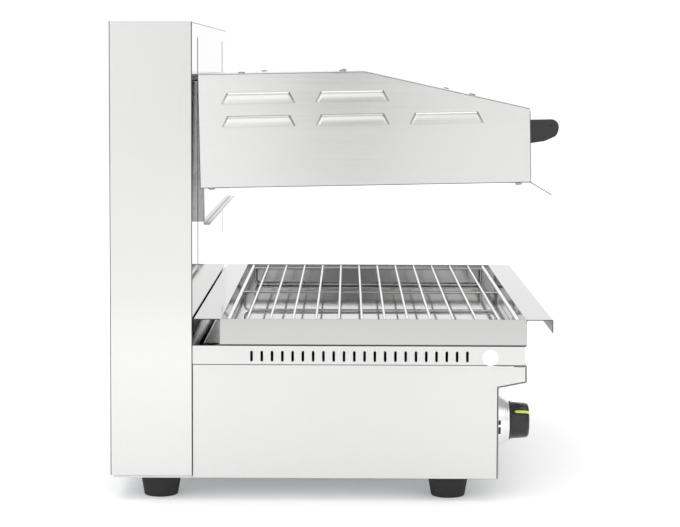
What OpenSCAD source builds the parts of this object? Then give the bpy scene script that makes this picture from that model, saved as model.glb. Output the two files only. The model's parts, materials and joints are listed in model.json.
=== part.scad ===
// Lift-hood salamander grill (cheese melter) for the counter: a sheet-steel column and base on
// four rubber feet, a louvred hood with two heating elements that slides up and down the column,
// a pull-out drip tray, a lift-out wire grate and two rotary controls.
// Front is -Y, up is +Z, and the origin is on the bench under the middle of the machine.

/* [Overall] */
// Width of the column, base, tray and hood
width = 600; // [520:10:720]
// Height of the column's top above the bench
height = 530; // [520:5:600]
// Thickness of the body sheet
sheet = 1.2; // [0.8:0.1:2]
// Thickness of the hood and tray sheet
thin_sheet = 1; // [0.6:0.1:1.4]
// Gap left at a seam between two panels
seam = 0.2; // [0.1:0.05:0.4]

/* [Column] */
// Depth of the column, back to front
column_depth = 91; // [88:1:120]
// Height of the column covers' lower edge above the feet
column_skirt = 3; // [1:0.5:6]
// Depth that the back panel lies inside the side panels
back_inset = 2.2; // [2:0.1:4]
// Width of the folded returns that panels are screwed to
return_w = 14; // [12:1:20]
// Distance of each slot's middle from the side
slot_inset = 83; // [76:1:120]
// Width of the slots in the front of the column
slot_w = 12; // [8:1:16]
// Clearance between an arm and the end of its slot
slot_play = 1; // [0.6:0.1:2]

// Length of a vent slot in the back panel
back_vent_len = 60; // [30:1:70]
// Height of a vent slot in the back panel
back_vent_h = 4; // [3:0.2:6]
// Number of columns of vent slots in the back panel
back_vent_columns = 5; // [1:2:5]
// Number of rows of vent slots in each field of the back panel
back_vent_rows = 6; // [2:1:6]
// Spacing of the columns of vent slots
back_vent_pitch = 80; // [76:1:90]
// Spacing of the rows of vent slots
back_vent_rise = 12; // [8:0.5:14]
// Height of the lower field of vent slots above the floor
back_vent_low = 90; // [60:1:110]
// Distance of the upper field's lowest slots from the column's top
back_vent_top = 130; // [110:1:140]

/* [Feet] */
// Height of the feet
foot_h = 25; // [24:1:40]
// Diameter of a foot at the top
foot_top_d = 47; // [40:1:52]
// Diameter of a foot at the bottom
foot_low_d = 38; // [28:1:40]
// Distance of the feet from the sides
foot_inset = 35; // [30:1:60]
// Distance of the rear feet from the back
foot_rear = 53; // [46:1:60]
// Distance of the front feet from the back
foot_front = 376; // [300:2:390]

/* [Base] */
// Distance from the column to the nose of the control panel
base_reach = 370; // [365:1:420]
// Overhang of the nose over the controls
nose_reach = 31; // [20:1:45]
// Height of the nose's upright face
nose_h = 19.5; // [12:0.5:30]
// Drop of the nose's sloping underside
nose_drop = 6; // [3:0.5:12]
// Height of the deck that carries the tray
deck_z = 173; // [165:1:200]
// Height of the vented band
band_h = 20.6; // [19:0.2:28]
// Setback of the vented band behind the nose
band_setback = 2.2; // [1.6:0.2:4]
// Number of vent slots on each side
vent_count = 22; // [8:1:24]
// Spacing of the vent slots
vent_pitch = 11.36; // [9:0.02:12]
// Width of a vent slot
vent_w = 3; // [2:0.2:5]
// Height of a vent slot
vent_h = 12; // [8:0.5:15]
// Distance from the column to the first vent slot
vent_start = 65.4; // [50:0.2:80]
// Width of the fixed rim beside the deck plate
deck_rim = 20; // [16:1:30]
// Width of the fixed rim behind the deck plate
deck_rear_rim = 10.5; // [8:0.5:16]
// Gap around the deck plate
deck_gap = 1.6; // [1:0.1:3]
// Height of the chassis floor's upturned edge
chassis_lip = 18; // [10:1:24]
// Distance of the floor's rear screws from the column
floor_screw_rear = 33; // [20:1:60]
// Distance of the floor's front screws from the column
floor_screw_front = 247; // [150:1:270]
// Diameter of the white caps on the sides
cap_d = 18; // [12:0.5:19]
// Distance of the white caps behind the nose
cap_back = 40.6; // [30:0.2:60]
// Height of the caps' middle above the band's lower edge
cap_rise = 8.3; // [7:0.1:11]

/* [Controls] */
// Distance of each knob's middle from the side
knob_inset = 77; // [60:1:110]
// Height of the knobs' middle
knob_z = 77.5; // [70:0.5:85]
// Diameter of a knob
knob_d = 43; // [36:0.5:48]
// Length of a knob
knob_len = 22.5; // [18:0.5:30]
// Diameter of a dial bezel
bezel_d = 67; // [60:1:74]
// Height of a dial bezel
bezel_h = 17; // [10:0.5:20]
// Angle of the knob's pointer from straight up, towards the left side
pointer_rest = 52; // [0:1:90]
// Diameter of a pilot lamp's lens
lamp_d = 12; // [8:0.5:14]
// Distance of a lamp's middle from its knob's middle
lamp_offset = 62; // [56:1:90]

/* [Tray and grate] */
// Length of the tray between its front and rear walls
tray_len = 339.5; // [330:0.5:342]
// Height of the tray
tray_h = 30; // [28:1:40]
// Width of the tray's front and rear flanges
tray_flange = 29; // [20:0.5:30]
// Height of the flanges' turned-down lips
tray_lip = 15; // [8:0.5:18]
// Gap between the tray and the column
tray_play = 1.2; // [0.6:0.1:3]
// Number of thin bars in the grate
bar_count = 12; // [8:1:12]
// Spacing of the thin bars
bar_pitch = 25.4; // [20:0.1:26]
// Diameter of the thin bars and legs
bar_d = 3; // [2.5:0.1:4]
// Diameter of the grate's edge bars
edge_bar_d = 5; // [4:0.1:6]
// Distance between the two edge bars
grate_depth = 321; // [310:1:324]
// Distance of the outer legs from the tray's walls
leg_inset = 12; // [6:1:40]
// Space between the grate's bars and the tray's walls
grate_play = 4; // [2:0.5:8]

/* [Hood] */
// Drop of the hood's top below the column's top
hood_drop = 57.5; // [54:0.5:65]
// Gap between the column and the hood at the bottom
hood_gap = 8.8; // [8:0.1:12]
// Angle that the hood's front sits up by
hood_set = 1.25; // [0:0.05:1.5]
// Length of the hood
hood_len = 364; // [350:1:380]
// Height of the hood at the back
hood_rear_h = 125.5; // [120:0.5:135]
// Height of the hood at the front
hood_front_h = 81.5; // [78:0.5:90]
// Length of the hood's flat top
hood_flat = 183; // [160:1:210]
// Width of the rim around the hood's open underside
hood_rim = 28; // [24:1:34]
// Length of a louvre
louvre_len = 81; // [60:1:85]
// Height of a louvre
louvre_h = 12; // [8:0.5:16]
// Depth that a louvre stands out
louvre_out = 4; // [2.5:0.1:5]
// Spacing of the louvres along the hood
louvre_pitch = 103; // [96:1:108]
// Distance of the first louvre's middle from the back
louvre_first = 66; // [60:1:72]
// Height of the lower row of louvres
louvre_low = 73; // [60:0.5:75]
// Distance between the two rows of louvres
louvre_rise = 25.4; // [20:0.2:26]
// Travel of the hood upwards from where it stands
lift_up = 50; // [20:1:50]
// Travel of the hood downwards from where it stands
lift_down = 50; // [20:1:55]

/* [Handle and visor] */
// Length of the handle
handle_len = 300; // [200:5:420]
// Depth that the handle stands out
handle_reach = 47; // [38:0.5:52]
// Height of the handle
handle_h = 29; // [24:0.5:32]
// Height of the handle's top above the hood's lower edge
handle_top = 64.4; // [55:0.2:70]
// Thickness of the handle's walls
handle_wall = 3; // [2.5:0.1:4]
// Thickness of the handle's end caps
handle_cap = 8; // [4:0.5:12]
// Length of the visor's sloping blade
visor_len = 28; // [15:1:36]
// Angle of the visor below the hood
visor_fall = 32; // [20:1:45]
// Distance of the visor's ends from the sides
visor_inset = 15; // [10:1:60]

/* [Lift gear] */
// Width of the lift plate behind the hood
lift_plate_w = 482; // [470:1:500]
// Depth that the lift plate hangs below the hood
lift_plate_drop = 45; // [35:1:50]
// Thickness of the lift plate
lift_plate_t = 1.5; // [1:0.1:2]
// Width of the lift plate's lower flange
lift_flange = 7.3; // [5:0.1:12]
// Height of the rubber buffers that stop the hood at the top
upper_buffer_h = 6.5; // [5:0.5:20]
// Height of the rubber buffers that stop the hood at the bottom
lower_buffer_h = 13; // [8:0.5:20]
// Thickness of the lift arms
arm_t = 3; // [2:0.5:4]
// Diameter of the guide rods
rod_d = 12; // [10:0.5:14]
// Running clearance round the guide rods
rod_play = 0.05; // [0.02:0.01:0.1]
// Distance of the guide rods from the back
rod_back = 40; // [36:1:44]
// Size of the slide blocks
block_size = 24; // [20:1:26]
// Size of the carriage's square tube
tube_size = 20; // [16:1:22]
// Outer diameter of the lift springs
spring_d = 18; // [14:0.5:20]
// Diameter of the springs' wire
spring_wire = 2.2; // [1.6:0.1:2.6]
// Number of turns in a lift spring
spring_turns = 22; // [12:1:24]
// Distance of each spring from the middle
spring_x = 110; // [80:1:150]

/* [Heating] */
// Diameter of the heating tubes
element_d = 8; // [6:0.5:9]
// Number of passes in a heating element
element_passes = 6; // [2:2:6]
// Spacing of the passes
element_pitch = 44; // [36:1:46]
// Height of the heating tubes above the hood's lower edge
element_z = 24; // [20:1:30]
// Height of the reflector above the hood's lower edge
reflector_z = 50; // [44:1:54]
// Thickness of the insulation blanket
blanket_t = 22; // [14:1:25]

/* [Hidden] */
$fn = 48;

half_w = width / 2;
inner_w = half_w - sheet - seam;          // half the space between the side panels

// distances forward of the column's back
nose_u = column_depth + base_reach;
panel_u = nose_u - nose_reach;
band_u = nose_u - band_setback;
hood_u = column_depth + hood_gap;
tray_rear_u = column_depth + tray_play;
tray_back_u = tray_rear_u + tray_flange;
tray_front_u = tray_back_u + tray_len;
grate_back_u = tray_back_u + (tray_len - grate_depth) / 2;

// heights above the bench
column_z = foot_h + column_skirt;
band_z = deck_z - band_h;
nose_low_z = band_z - nose_h;
recess_z = nose_low_z - nose_drop;
hood_z = height - hood_drop - hood_rear_h * cos(hood_set);
rim_z = deck_z + tray_h;

// a point of the hood, given along and up the hood, as [forward, up] of the machine
function hood_point(f, z) = [
    hood_u + f * cos(hood_set) - z * sin(hood_set),
    hood_z + f * sin(hood_set) + z * cos(hood_set)
];

handle_nose = hood_point(hood_len + handle_reach, handle_top - handle_h / 2);
y_back = handle_nose[0] / 2;              // half the machine's whole depth

// fasteners
screw_d = 4;
screw_head_d = 7.6;
screw_head_h = 2;
screw_len = 8;
screw_play = 0.15;

// lift gear
arm_x = half_w - slot_inset;
arm_foot = hood_point(-lift_plate_t, 2 - lift_plate_drop);
arm_z = arm_foot[1];
arm_rear_u = rod_back - block_size / 2;
rod_x = arm_x - arm_t / 2 - block_size / 2;
rail_t = 3;
rail_rear = 14;                           // reach of the rails behind the rods
rail_front = 44;                          // reach of the rails in front of the rods
rail_u = [rod_back - rail_rear, rod_back + rail_front];
rod_over = 4;
rod_air = 1;                              // space between the rods and the top cover
upper_rail_z = height - sheet - rod_air - rod_over - rail_t;
buffer_play = 0.3;
arm_h = upper_rail_z - upper_buffer_h - buffer_play - lift_up - arm_z;
lower_rail_z = arm_z - lift_down - buffer_play - lower_buffer_h - rail_t;
collar_d = rod_d + 8;
buffer_d = rod_d + 10;
tube_u = rod_back + block_size / 2 + 3;
tube_z = arm_z + block_size + 4;
tube_wall = 2;
plug_h = 12;
plug_flange_h = 2;
spring_u = tube_u + tube_size / 2;
spring_low_z = tube_z + tube_size + plug_flange_h + 0.3;
spring_high_z = upper_rail_z - plug_flange_h - 0.3;

// tray and grate
leg_x = half_w - thin_sheet - leg_inset;
leg_rest = 0.2;                           // play left under the legs
leg_low_z = deck_z + thin_sheet + leg_rest + bar_d / 2;
bar_z = rim_z - bar_d / 2 - 0.2;
weld = 0.2;                               // depth that crossing bars melt together
leg_high_z = bar_z - bar_d + weld;
leg_bend = 6;

// outside of the control panel and the nose above it
front_path = [[nose_u - return_w, band_z - seam], [nose_u, band_z - seam], [nose_u, nose_low_z],
              [panel_u, recess_z], [panel_u, foot_h]];

// feet and side caps
foot_bore_depth = screw_len + 4;
cap_t = 2;
cap_stem_d = 8;
cap_stem_h = 8;

// controls
knob_x = half_w - knob_inset;
shaft_d = 6;
shaft_play = 0.05;
bush_d = 10;
bush_play = 0.1;
bezel_rim = 1.5;
bezel_wall = 1.5;
knob_flange_h = 2;
knob_gap = 0.4;
knob_low_d = knob_d - 1;
knob_high_d = knob_d - 4.4;
shaft_grip = 12;
pointer_w = 4;
pointer_h = 0.6;
pointer_start = 8;
pointer_in = shaft_d / 2 + 2;
regulator_size = 40;
regulator_depth = 30;
tab_pitch = 8;                            // the push-on terminals of the regulators
tab_len = 8;
tab_w = 6.3;
tab_t = 0.8;
lamp_rim = 1.6;
lamp_depth = 22;

// wiring
terminal_ways = 5;
terminal_pitch = 12;
terminal_x = -60;
gland_x = -150;
gland_thread_d = 20;
gland_bore_d = 10;
gland_hex_d = 28;
gland_body_h = 9;
gland_h = 20;

// hood
louvre_taper = 12;                        // a louvre is this much shorter at its top edge
louvre_slope = (louvre_len - louvre_taper) / louvre_len;
side_top_f = [[0, hood_rear_h], [hood_flat, hood_rear_h], [hood_len, hood_front_h]];
slope_angle = atan((hood_rear_h - hood_front_h) / (hood_len - hood_flat));
cover_screws_f = [48, hood_flat - 24, hood_len - 63];
frame_screws_f = [12, hood_len - 13];
hood_screw_x = half_w - 9;
visor_flange = 24;
handle_lug_x = handle_len / 2 - 40;
handle_lug_d = 10;
handle_lug_h = screw_len + 3;
handle_screw_z = handle_top - handle_h / 2;

// heating
zone_margin = hood_rim + 12;              // from the hood's side to the tubes' half-turns
zone_gap = 24;
zone_bend = element_pitch / 2;
pass_f0 = (hood_len - (element_passes - 1) * element_pitch) / 2;
zone_x = [zone_gap / 2 + zone_bend + element_d / 2, half_w - zone_margin - zone_bend - element_d / 2];
terminal_z = reflector_z + thin_sheet + blanket_t;
terminal_h = 12;
terminal_d = 16;
hanger_t = 1.5;
hanger_play = 0.3;

// ---------------------------------------------------------------- shared shapes

// the Y of a place that lies u forward of the column's back
function yf(u) = y_back - u;

function unit(v) = v / norm(v);
function left_of(v) = [-v[1], v[0]];
function mitre(p, i, t) =
    let (last = len(p) - 1,
         a = left_of(unit(i > 0 ? p[i] - p[i - 1] : p[1] - p[0])),
         b = left_of(unit(i < last ? p[i + 1] - p[i] : p[last] - p[last - 1])))
    p[i] + t * (a + b) / (1 + a * b);
// outline of a folded sheet whose one face follows the path p
function folded(p, t) = concat(p, [for (i = [len(p) - 1:-1:0]) mitre(p, i, t)]);

// extrudes an outline of [forward, up] points across the machine, from x0 to x1
module across(x0, x1, outline)
    translate([x0, y_back, 0]) rotate([90, 0, 90])
        linear_extrude(x1 - x0) polygon([for (p = outline) [-p[0], p[1]]]);

// the same in the hood's own frame
module across_hood(x0, x1, outline)
    translate([x0, 0, 0]) rotate([90, 0, 90])
        linear_extrude(x1 - x0) polygon([for (p = outline) [-p[0], p[1]]]);

module block(x, u, z)
    translate([x[0], yf(u[1]), z[0]]) cube([x[1] - x[0], u[1] - u[0], z[1] - z[0]]);

module hood_block(x, f, z)
    translate([x[0], -f[1], z[0]]) cube([x[1] - x[0], f[1] - f[0], z[1] - z[0]]);

// places what is drawn along -Y and +Z from the hood's lower rear edge
module on_hood()
    translate([0, yf(hood_u), hood_z]) rotate([-hood_set, 0, 0]) children();

module pair() {
    children();
    mirror([1, 0, 0]) children();
}

// a pan-head screw whose head stands on z = 0 and whose shank points down
module screw() {
    cylinder(d = screw_head_d, h = screw_head_h);
    translate([0, 0, -screw_len]) cylinder(d = screw_d, h = screw_len + 0.1);
}

// the hole for it, through all the sheets under the head
module screw_hole()
    translate([0, 0, -2 * screw_len]) cylinder(d = screw_d + 2 * screw_play, h = 3 * screw_len);

// a slot with round ends, lying along the sheet's first axis
module round_slot(length, w) {
    square([length - w, w], center = true);
    for (s = [-1, 1]) translate([s * (length - w) / 2, 0]) circle(d = w);
}

// ---------------------------------------------------------------- column

module column_side() {
    flange_z = foot_h + chassis_lip + 1;
    difference() {
        union() {
            block([-half_w, -half_w + sheet], [0, column_depth], [column_z, height]);
            for (u = [back_inset + sheet, column_depth - 2 * sheet])
                block([-half_w, -half_w + sheet + return_w], [u, u + sheet],
                      [flange_z, height - sheet - seam]);
        }
        back_screw_places() screw_hole();
    }
}

module back_screw_places() {
    levels = 4;
    low = foot_h + chassis_lip + 30;
    high = height - 40;
    for (i = [0:levels - 1], s = [-1, 1])
        translate([s * (half_w - sheet - return_w / 2), yf(back_inset),
                   low + (high - low) * i / (levels - 1)])
            rotate([-90, 0, 0]) children();
}

module column_side_left() color("gainsboro") column_side();
module column_side_right() color("gainsboro") mirror([1, 0, 0]) column_side();

module column_front_panel() color("whitesmoke") {
    slot_low = arm_z - lift_down - slot_play;
    slot_high = arm_z + arm_h + lift_up + slot_play;
    duct = [120, 50];                     // window for the wires between column and base
    difference() {
        block([-inner_w, inner_w], [column_depth - sheet, column_depth],
              [foot_h + chassis_lip + 1, height - sheet]);
        for (s = [-1, 1])
            translate([s * arm_x, yf(column_depth - sheet / 2), (slot_low + slot_high) / 2])
                rotate([90, 90, 0])
                    linear_extrude(4 * sheet, center = true)
                        round_slot(slot_high - slot_low, slot_w);
        block([-duct[0] / 2, duct[0] / 2], [column_depth - 3 * sheet, column_depth + sheet],
              [knob_z - duct[1] / 2, knob_z + duct[1] / 2]);
    }
}

module column_back_panel() color("gainsboro") {
    columns = (back_vent_columns - 1) / 2;
    difference() {
        block([-inner_w, inner_w], [back_inset, back_inset + sheet],
              [column_z, height - sheet - seam]);
        back_screw_places() screw_hole();
        for (z = [foot_h + back_vent_low, height - back_vent_top],
             i = [0:back_vent_rows - 1], k = [-columns:columns])
            translate([k * back_vent_pitch, yf(back_inset + sheet / 2), z + i * back_vent_rise])
                rotate([90, 0, 0]) linear_extrude(4 * sheet, center = true)
                    round_slot(back_vent_len, back_vent_h);
    }
}

module column_top_cover() color("whitesmoke") {
    end_u = [back_inset + 2 * sheet + 1, column_depth - 2 * sheet - 1];
    block([-inner_w, inner_w], [0, column_depth], [height - sheet, height]);
    pair() block([-inner_w, -inner_w + sheet], end_u,
                 [upper_rail_z + rail_t + seam, height]);
}

module chassis_floor() color("silver") {
    front = panel_u - sheet - seam;
    rear = back_inset + sheet + seam;
    difference() {
        union() {
            block([-inner_w, inner_w], [rear, front], [foot_h, foot_h + sheet]);
            pair() block([-inner_w, -inner_w + sheet], [rear, front],
                         [foot_h, foot_h + chassis_lip]);
            block([-inner_w, inner_w], [rear, rear + sheet], [foot_h, foot_h + chassis_lip]);
            block([-inner_w, inner_w], [front - sheet, front], [foot_h, foot_h + chassis_lip]);
        }
        foot_places() translate([0, 0, foot_h]) screw_hole();
        chassis_screw_places() screw_hole();
        gland_place() cylinder(d = gland_thread_d + 2 * screw_play, h = 20, center = true);
    }
}

module upper_cross_rail() color("darkgray") {
    cross_rail(upper_rail_z);
    spring_places() translate([0, 0, upper_rail_z]) rotate([180, 0, 0]) spring_plug();
}

module lower_cross_rail() color("darkgray") cross_rail(lower_rail_z);

// a rail between the column's sides, with turned-down ends and holes for the guide rods
module cross_rail(z)
    difference() {
        union() {
            block([-inner_w, inner_w], rail_u, [z, z + rail_t]);
            pair() block([-inner_w, -inner_w + rail_t], rail_u, [z - return_w, z + rail_t]);
        }
        rod_places() cylinder(d = rod_d + 2 * rod_play, h = 2 * height);
    }

module rod_places()
    for (s = [-1, 1]) translate([s * rod_x, yf(rod_back), 0]) children();

module guide_rods() color("lightgray")
    rod_places()
        translate([0, 0, lower_rail_z - rod_over])
            cylinder(d = rod_d, h = upper_rail_z + rail_t + 2 * rod_over - lower_rail_z);

module ring(outer, inner, h)
    difference() {
        cylinder(d = outer, h = h);
        translate([0, 0, -1]) cylinder(d = inner, h = h + 2);
    }

module rod_collars() color("dimgray")
    rod_places() {
        translate([0, 0, lower_rail_z - rod_over])
            ring(collar_d, rod_d + 2 * rod_play, rod_over);
        translate([0, 0, upper_rail_z + rail_t]) ring(collar_d, rod_d + 2 * rod_play, rod_over);
    }

module stop_buffers() color("black") {
    top_stop = arm_z + arm_h + lift_up + buffer_play;
    rod_places() {
        translate([0, 0, lower_rail_z + rail_t])
            ring(buffer_d, rod_d + 2 * rod_play, lower_buffer_h);
        translate([0, 0, top_stop]) ring(buffer_d, rod_d + 2 * rod_play, upper_rail_z - top_stop);
    }
}

module spring_places()
    for (s = [-1, 1]) translate([s * spring_x, yf(spring_u), 0]) children();

// the flanged stub that the end of a spring is wound on
module spring_plug() {
    translate([0, 0, -tube_wall / 2]) cylinder(d = spring_d + 2, h = plug_flange_h + tube_wall / 2);
    cylinder(d = spring_d - 2 * spring_wire - 1.6, h = plug_flange_h + plug_h);
}

// a wire of diameter d wound on a helix, as one closed tube
module coil(d, wire, z0, z1, turns, steps = 10, sides = 6) {
    rings = turns * steps;
    r = (d - wire) / 2;
    rise = z1 - z0 - wire;
    points = [for (i = [0:rings], j = [0:sides - 1])
        let (turn = 360 * i / steps, a = 360 * j / sides,
             out = r + wire / 2 * cos(a))
        [out * cos(turn), out * sin(turn), z0 + wire / 2 + rise * i / rings + wire / 2 * sin(a)]];
    sleeve = [for (i = [0:rings - 1], j = [0:sides - 1])
        let (k = (j + 1) % sides)
        [i * sides + j, (i + 1) * sides + j, (i + 1) * sides + k, i * sides + k]];
    ends = [[for (j = [0:sides - 1]) j], [for (j = [sides - 1:-1:0]) rings * sides + j]];
    polyhedron(points, concat(sleeve, ends), convexity = 8);
}

module lift_spring(s)
    translate([s * spring_x, yf(spring_u), 0])
        coil(spring_d, spring_wire, spring_low_z, spring_high_z, spring_turns);

module lift_spring_left() color("slategray") lift_spring(-1);
module lift_spring_right() color("slategray") lift_spring(1);

// ---------------------------------------------------------------- base

module base_side() {
    rear = column_depth + seam;
    top = band_z - seam;
    step = nose_u - return_w - seam;
    inside = [for (i = [3:-1:1]) mitre(front_path, i, -sheet - seam)];
    outline = concat([[rear, foot_h], [panel_u - sheet - seam, foot_h]], inside,
                     [[step, inside[2][1]], [step, top], [rear, top]]);
    difference() {
        union() {
            across(-half_w, -half_w + sheet, outline);
            block([-half_w, -half_w + sheet + return_w], [rear, step], [top - sheet, top]);
        }
        cap_place() cylinder(d = cap_stem_d + 2 * screw_play, h = 40, center = true);
    }
}

module base_side_left() color("lightgray") base_side();
module base_side_right() color("lightgray") mirror([1, 0, 0]) base_side();

module front_panel() color("lightgray") {
    difference() {
        across(-half_w, half_w, folded(front_path, -sheet));
        for (s = [-1, 1]) {
            at_knob(s) cylinder(d = bush_d + 2 * bush_play, h = 20, center = true);
            at_lamp(s) cylinder(d = lamp_d - lamp_rim + 2 * bush_play, h = 20, center = true);
        }
    }
}

module vent_frame() color("lightgray") {
    rear = column_depth + seam;
    opening_x = half_w - deck_rim;
    opening_u = [column_depth + deck_rear_rim, band_u - deck_rim];
    ledge = 6;
    skirt_z = band_z + seam;
    difference() {
        union() {
            block([-half_w, half_w], [rear, band_u], [deck_z - sheet, deck_z]);
            pair() block([-half_w, -half_w + sheet], [rear, band_u], [skirt_z, deck_z]);
            block([-half_w, half_w], [band_u - sheet, band_u], [skirt_z, deck_z]);
            block([-opening_x - ledge, opening_x + ledge], [rear, opening_u[1] + ledge],
                  [deck_z - 2 * sheet, deck_z]);
        }
        block([-opening_x, opening_x], opening_u, [deck_z - sheet, deck_z + 1]);
        block([-opening_x + ledge, opening_x - ledge], [opening_u[0] + ledge, opening_u[1] - ledge],
              [deck_z - 3 * sheet, deck_z + 1]);
        vent_places() linear_extrude(4 * sheet, center = true) round_slot(vent_h, vent_w);
        cap_place() cylinder(d = cap_stem_d + 2 * screw_play, h = 40, center = true);
        mirror([1, 0, 0])
            cap_place() cylinder(d = cap_stem_d + 2 * screw_play, h = 40, center = true);
    }
}

module vent_places()
    for (i = [0:vent_count - 1], s = [-1, 1])
        translate([s * (half_w - sheet / 2), yf(column_depth + vent_start + i * vent_pitch),
                   band_z + band_h * 0.45]) rotate([0, 90, 0]) children();

module deck_plate() color("gray") {
    x = half_w - deck_rim - deck_gap;
    u = [column_depth + deck_rear_rim + deck_gap, band_u - deck_rim - deck_gap];
    block([-x, x], u, [deck_z - sheet, deck_z]);
}

module cap_place()
    translate([-half_w, yf(nose_u - cap_back), band_z + cap_rise]) rotate([0, 90, 0]) children();

module side_cap()
    cap_place() {
        translate([0, 0, -cap_t]) cylinder(d = cap_d, h = cap_t);
        cylinder(d = cap_stem_d, h = cap_stem_h);
    }

module side_caps() color("white") pair() side_cap();

module foot_places()
    for (s = [-1, 1], u = [foot_rear, foot_front])
        translate([s * (half_w - foot_inset), yf(u), 0]) children();

module feet() color("black")
    foot_places() difference() {
        rotate_extrude() polygon([
            [0, 0], [foot_low_d / 2 - 1.5, 0], [foot_low_d / 2, 1.5],
            [foot_top_d / 2, foot_h], [0, foot_h]]);
        translate([0, 0, foot_h - foot_bore_depth])
            cylinder(d = screw_d + 2 * screw_play, h = foot_bore_depth + 1);
    }

module foot_screws() color("silver")
    foot_places() translate([0, 0, foot_h + sheet]) screw();

module chassis_screw_places()
    for (s = [-1, 1], u = [column_depth + floor_screw_rear,
                              column_depth + floor_screw_front])
        translate([s * (half_w - foot_inset / 2), yf(u), foot_h]) rotate([180, 0, 0]) children();

module chassis_screws() color("silver") chassis_screw_places() screw();
module back_panel_screws() color("silver")
    back_screw_places() screw();

// ---------------------------------------------------------------- controls

// turns what is drawn up +Z so that it points out of the control panel
module at_knob(s) translate([s * knob_x, yf(panel_u), knob_z]) rotate([90, 0, 0]) children();
module at_lamp(s)
    translate([s * (knob_x - lamp_offset), yf(panel_u), knob_z]) rotate([90, 0, 0]) children();

module dial_bezel(s)
    at_knob(s) rotate_extrude($fn = 96) polygon([
        [bush_d / 2 + 0.5, 0], [bezel_d / 2, 0], [bezel_d / 2, bezel_rim],
        [knob_d / 2 + 1.1, bezel_h], [knob_d / 2 - 6, bezel_h],
        [knob_d / 2 - 6, bezel_h - bezel_wall],
        [knob_d / 2, bezel_h - bezel_wall], [bezel_d / 2 - 2 * bezel_wall, bezel_rim + 0.5],
        [bush_d / 2 + 0.5, bezel_rim + 0.5]]);

module dial_bezel_left() color("silver") dial_bezel(-1);
module dial_bezel_right() color("silver") dial_bezel(1);

module knob(s)
    at_knob(s) translate([0, 0, bezel_h + knob_gap]) difference() {
        rotate_extrude($fn = 96) polygon(concat(
            [[0, 0], [knob_d / 2 + 0.6, 0], [knob_d / 2 + 0.6, knob_flange_h - 0.4],
             [knob_low_d / 2, knob_flange_h]],
            [for (a = [0:15:90]) [knob_high_d / 2 - 3 + 3 * cos(a), knob_len - 3 + 3 * sin(a)]],
            [[0, knob_len]]));
        translate([0, 0, -1]) cylinder(d = shaft_d + 2 * shaft_play, h = shaft_grip + 1);
        rotate(pointer_rest)
            translate([-pointer_w / 2, pointer_in, pointer_start])
                cube([pointer_w, knob_d, knob_len]);
    }

module knob_left() color("black") knob(-1);
module knob_right() color("black") knob(1);

// the coloured bar set into the knob's side and front
module knob_pointer(s)
    at_knob(s) translate([0, 0, bezel_h + knob_gap]) rotate(pointer_rest)
        intersection() {
            translate([-pointer_w / 2 + seam / 2, pointer_in + seam / 2, pointer_start + seam / 2])
                cube([pointer_w - seam, knob_d, knob_len]);
            rotate_extrude($fn = 96) polygon(concat(
                [[0, 0], [knob_low_d / 2 + pointer_h, 0]],
                [for (a = [0:15:90]) [knob_high_d / 2 - 3 + (3 + pointer_h) * cos(a),
                                      knob_len - 3 + (3 + pointer_h) * sin(a)]],
                [[0, knob_len + pointer_h]]));
        }

module knob_pointer_left() color("yellowgreen") knob_pointer(-1);
module knob_pointer_right() color("yellowgreen") knob_pointer(1);

module regulator_shaft(s)
    at_knob(s) translate([0, 0, -shaft_grip])
        cylinder(d = shaft_d, h = 2 * shaft_grip + bezel_h + knob_gap - 0.3);

module regulator_shaft_left() color("silver") regulator_shaft(-1);
module regulator_shaft_right() color("silver") regulator_shaft(1);

module energy_regulator(s)
    at_knob(s) difference() {
        union() {
            translate([-regulator_size / 2, -regulator_size / 2, -sheet - regulator_depth])
                cube([regulator_size, regulator_size, regulator_depth]);
            translate([0, 0, -sheet - 1]) cylinder(d = bush_d, h = sheet + 1 + bezel_rim);
            for (i = [-1.5:1.5])
                translate([i * tab_pitch - tab_t / 2, -tab_w / 2,
                           -sheet - regulator_depth - tab_len])
                    cube([tab_t, tab_w, tab_len + 1]);
        }
        translate([0, 0, -shaft_grip - 0.3])
            cylinder(d = shaft_d + 2 * shaft_play, h = 3 * shaft_grip);
    }

module energy_regulator_left() color("ivory") energy_regulator(-1);
module energy_regulator_right() color("ivory") energy_regulator(1);

module pilot_lamp(s)
    at_lamp(s) {
        cylinder(d = lamp_d + lamp_rim, h = 1);
        cylinder(d = lamp_d, h = 3);
        translate([0, 0, -lamp_depth]) cylinder(d = lamp_d - lamp_rim, h = lamp_depth + 1);
    }

module pilot_lamp_left() color("orange") pilot_lamp(-1);
module pilot_lamp_right() color("orange") pilot_lamp(1);

module terminal_block() color("ivory") {
    size = [terminal_ways * terminal_pitch, 30, 22];
    well_d = 6;
    well_y = 8;
    groove = [1.5, 5];
    translate([terminal_x, yf(rod_back), foot_h + sheet]) difference() {
        translate([-size[0] / 2, -size[1] / 2, 0]) cube(size);
        for (i = [0:terminal_ways - 1], s = [-1, 1])
            translate([(i - (terminal_ways - 1) / 2) * terminal_pitch, s * well_y,
                       size[2] - well_y])
                cylinder(d = well_d, h = well_y + 1);
        for (i = [0:terminal_ways])
            translate([(i - terminal_ways / 2) * terminal_pitch - groove[0] / 2,
                       -size[1] / 2 - 1, size[2] - groove[1]])
                cube([groove[0], size[1] + 2, groove[1] + 1]);
    }
}

module gland_place() translate([gland_x, yf(rod_back), foot_h]) children();

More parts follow.
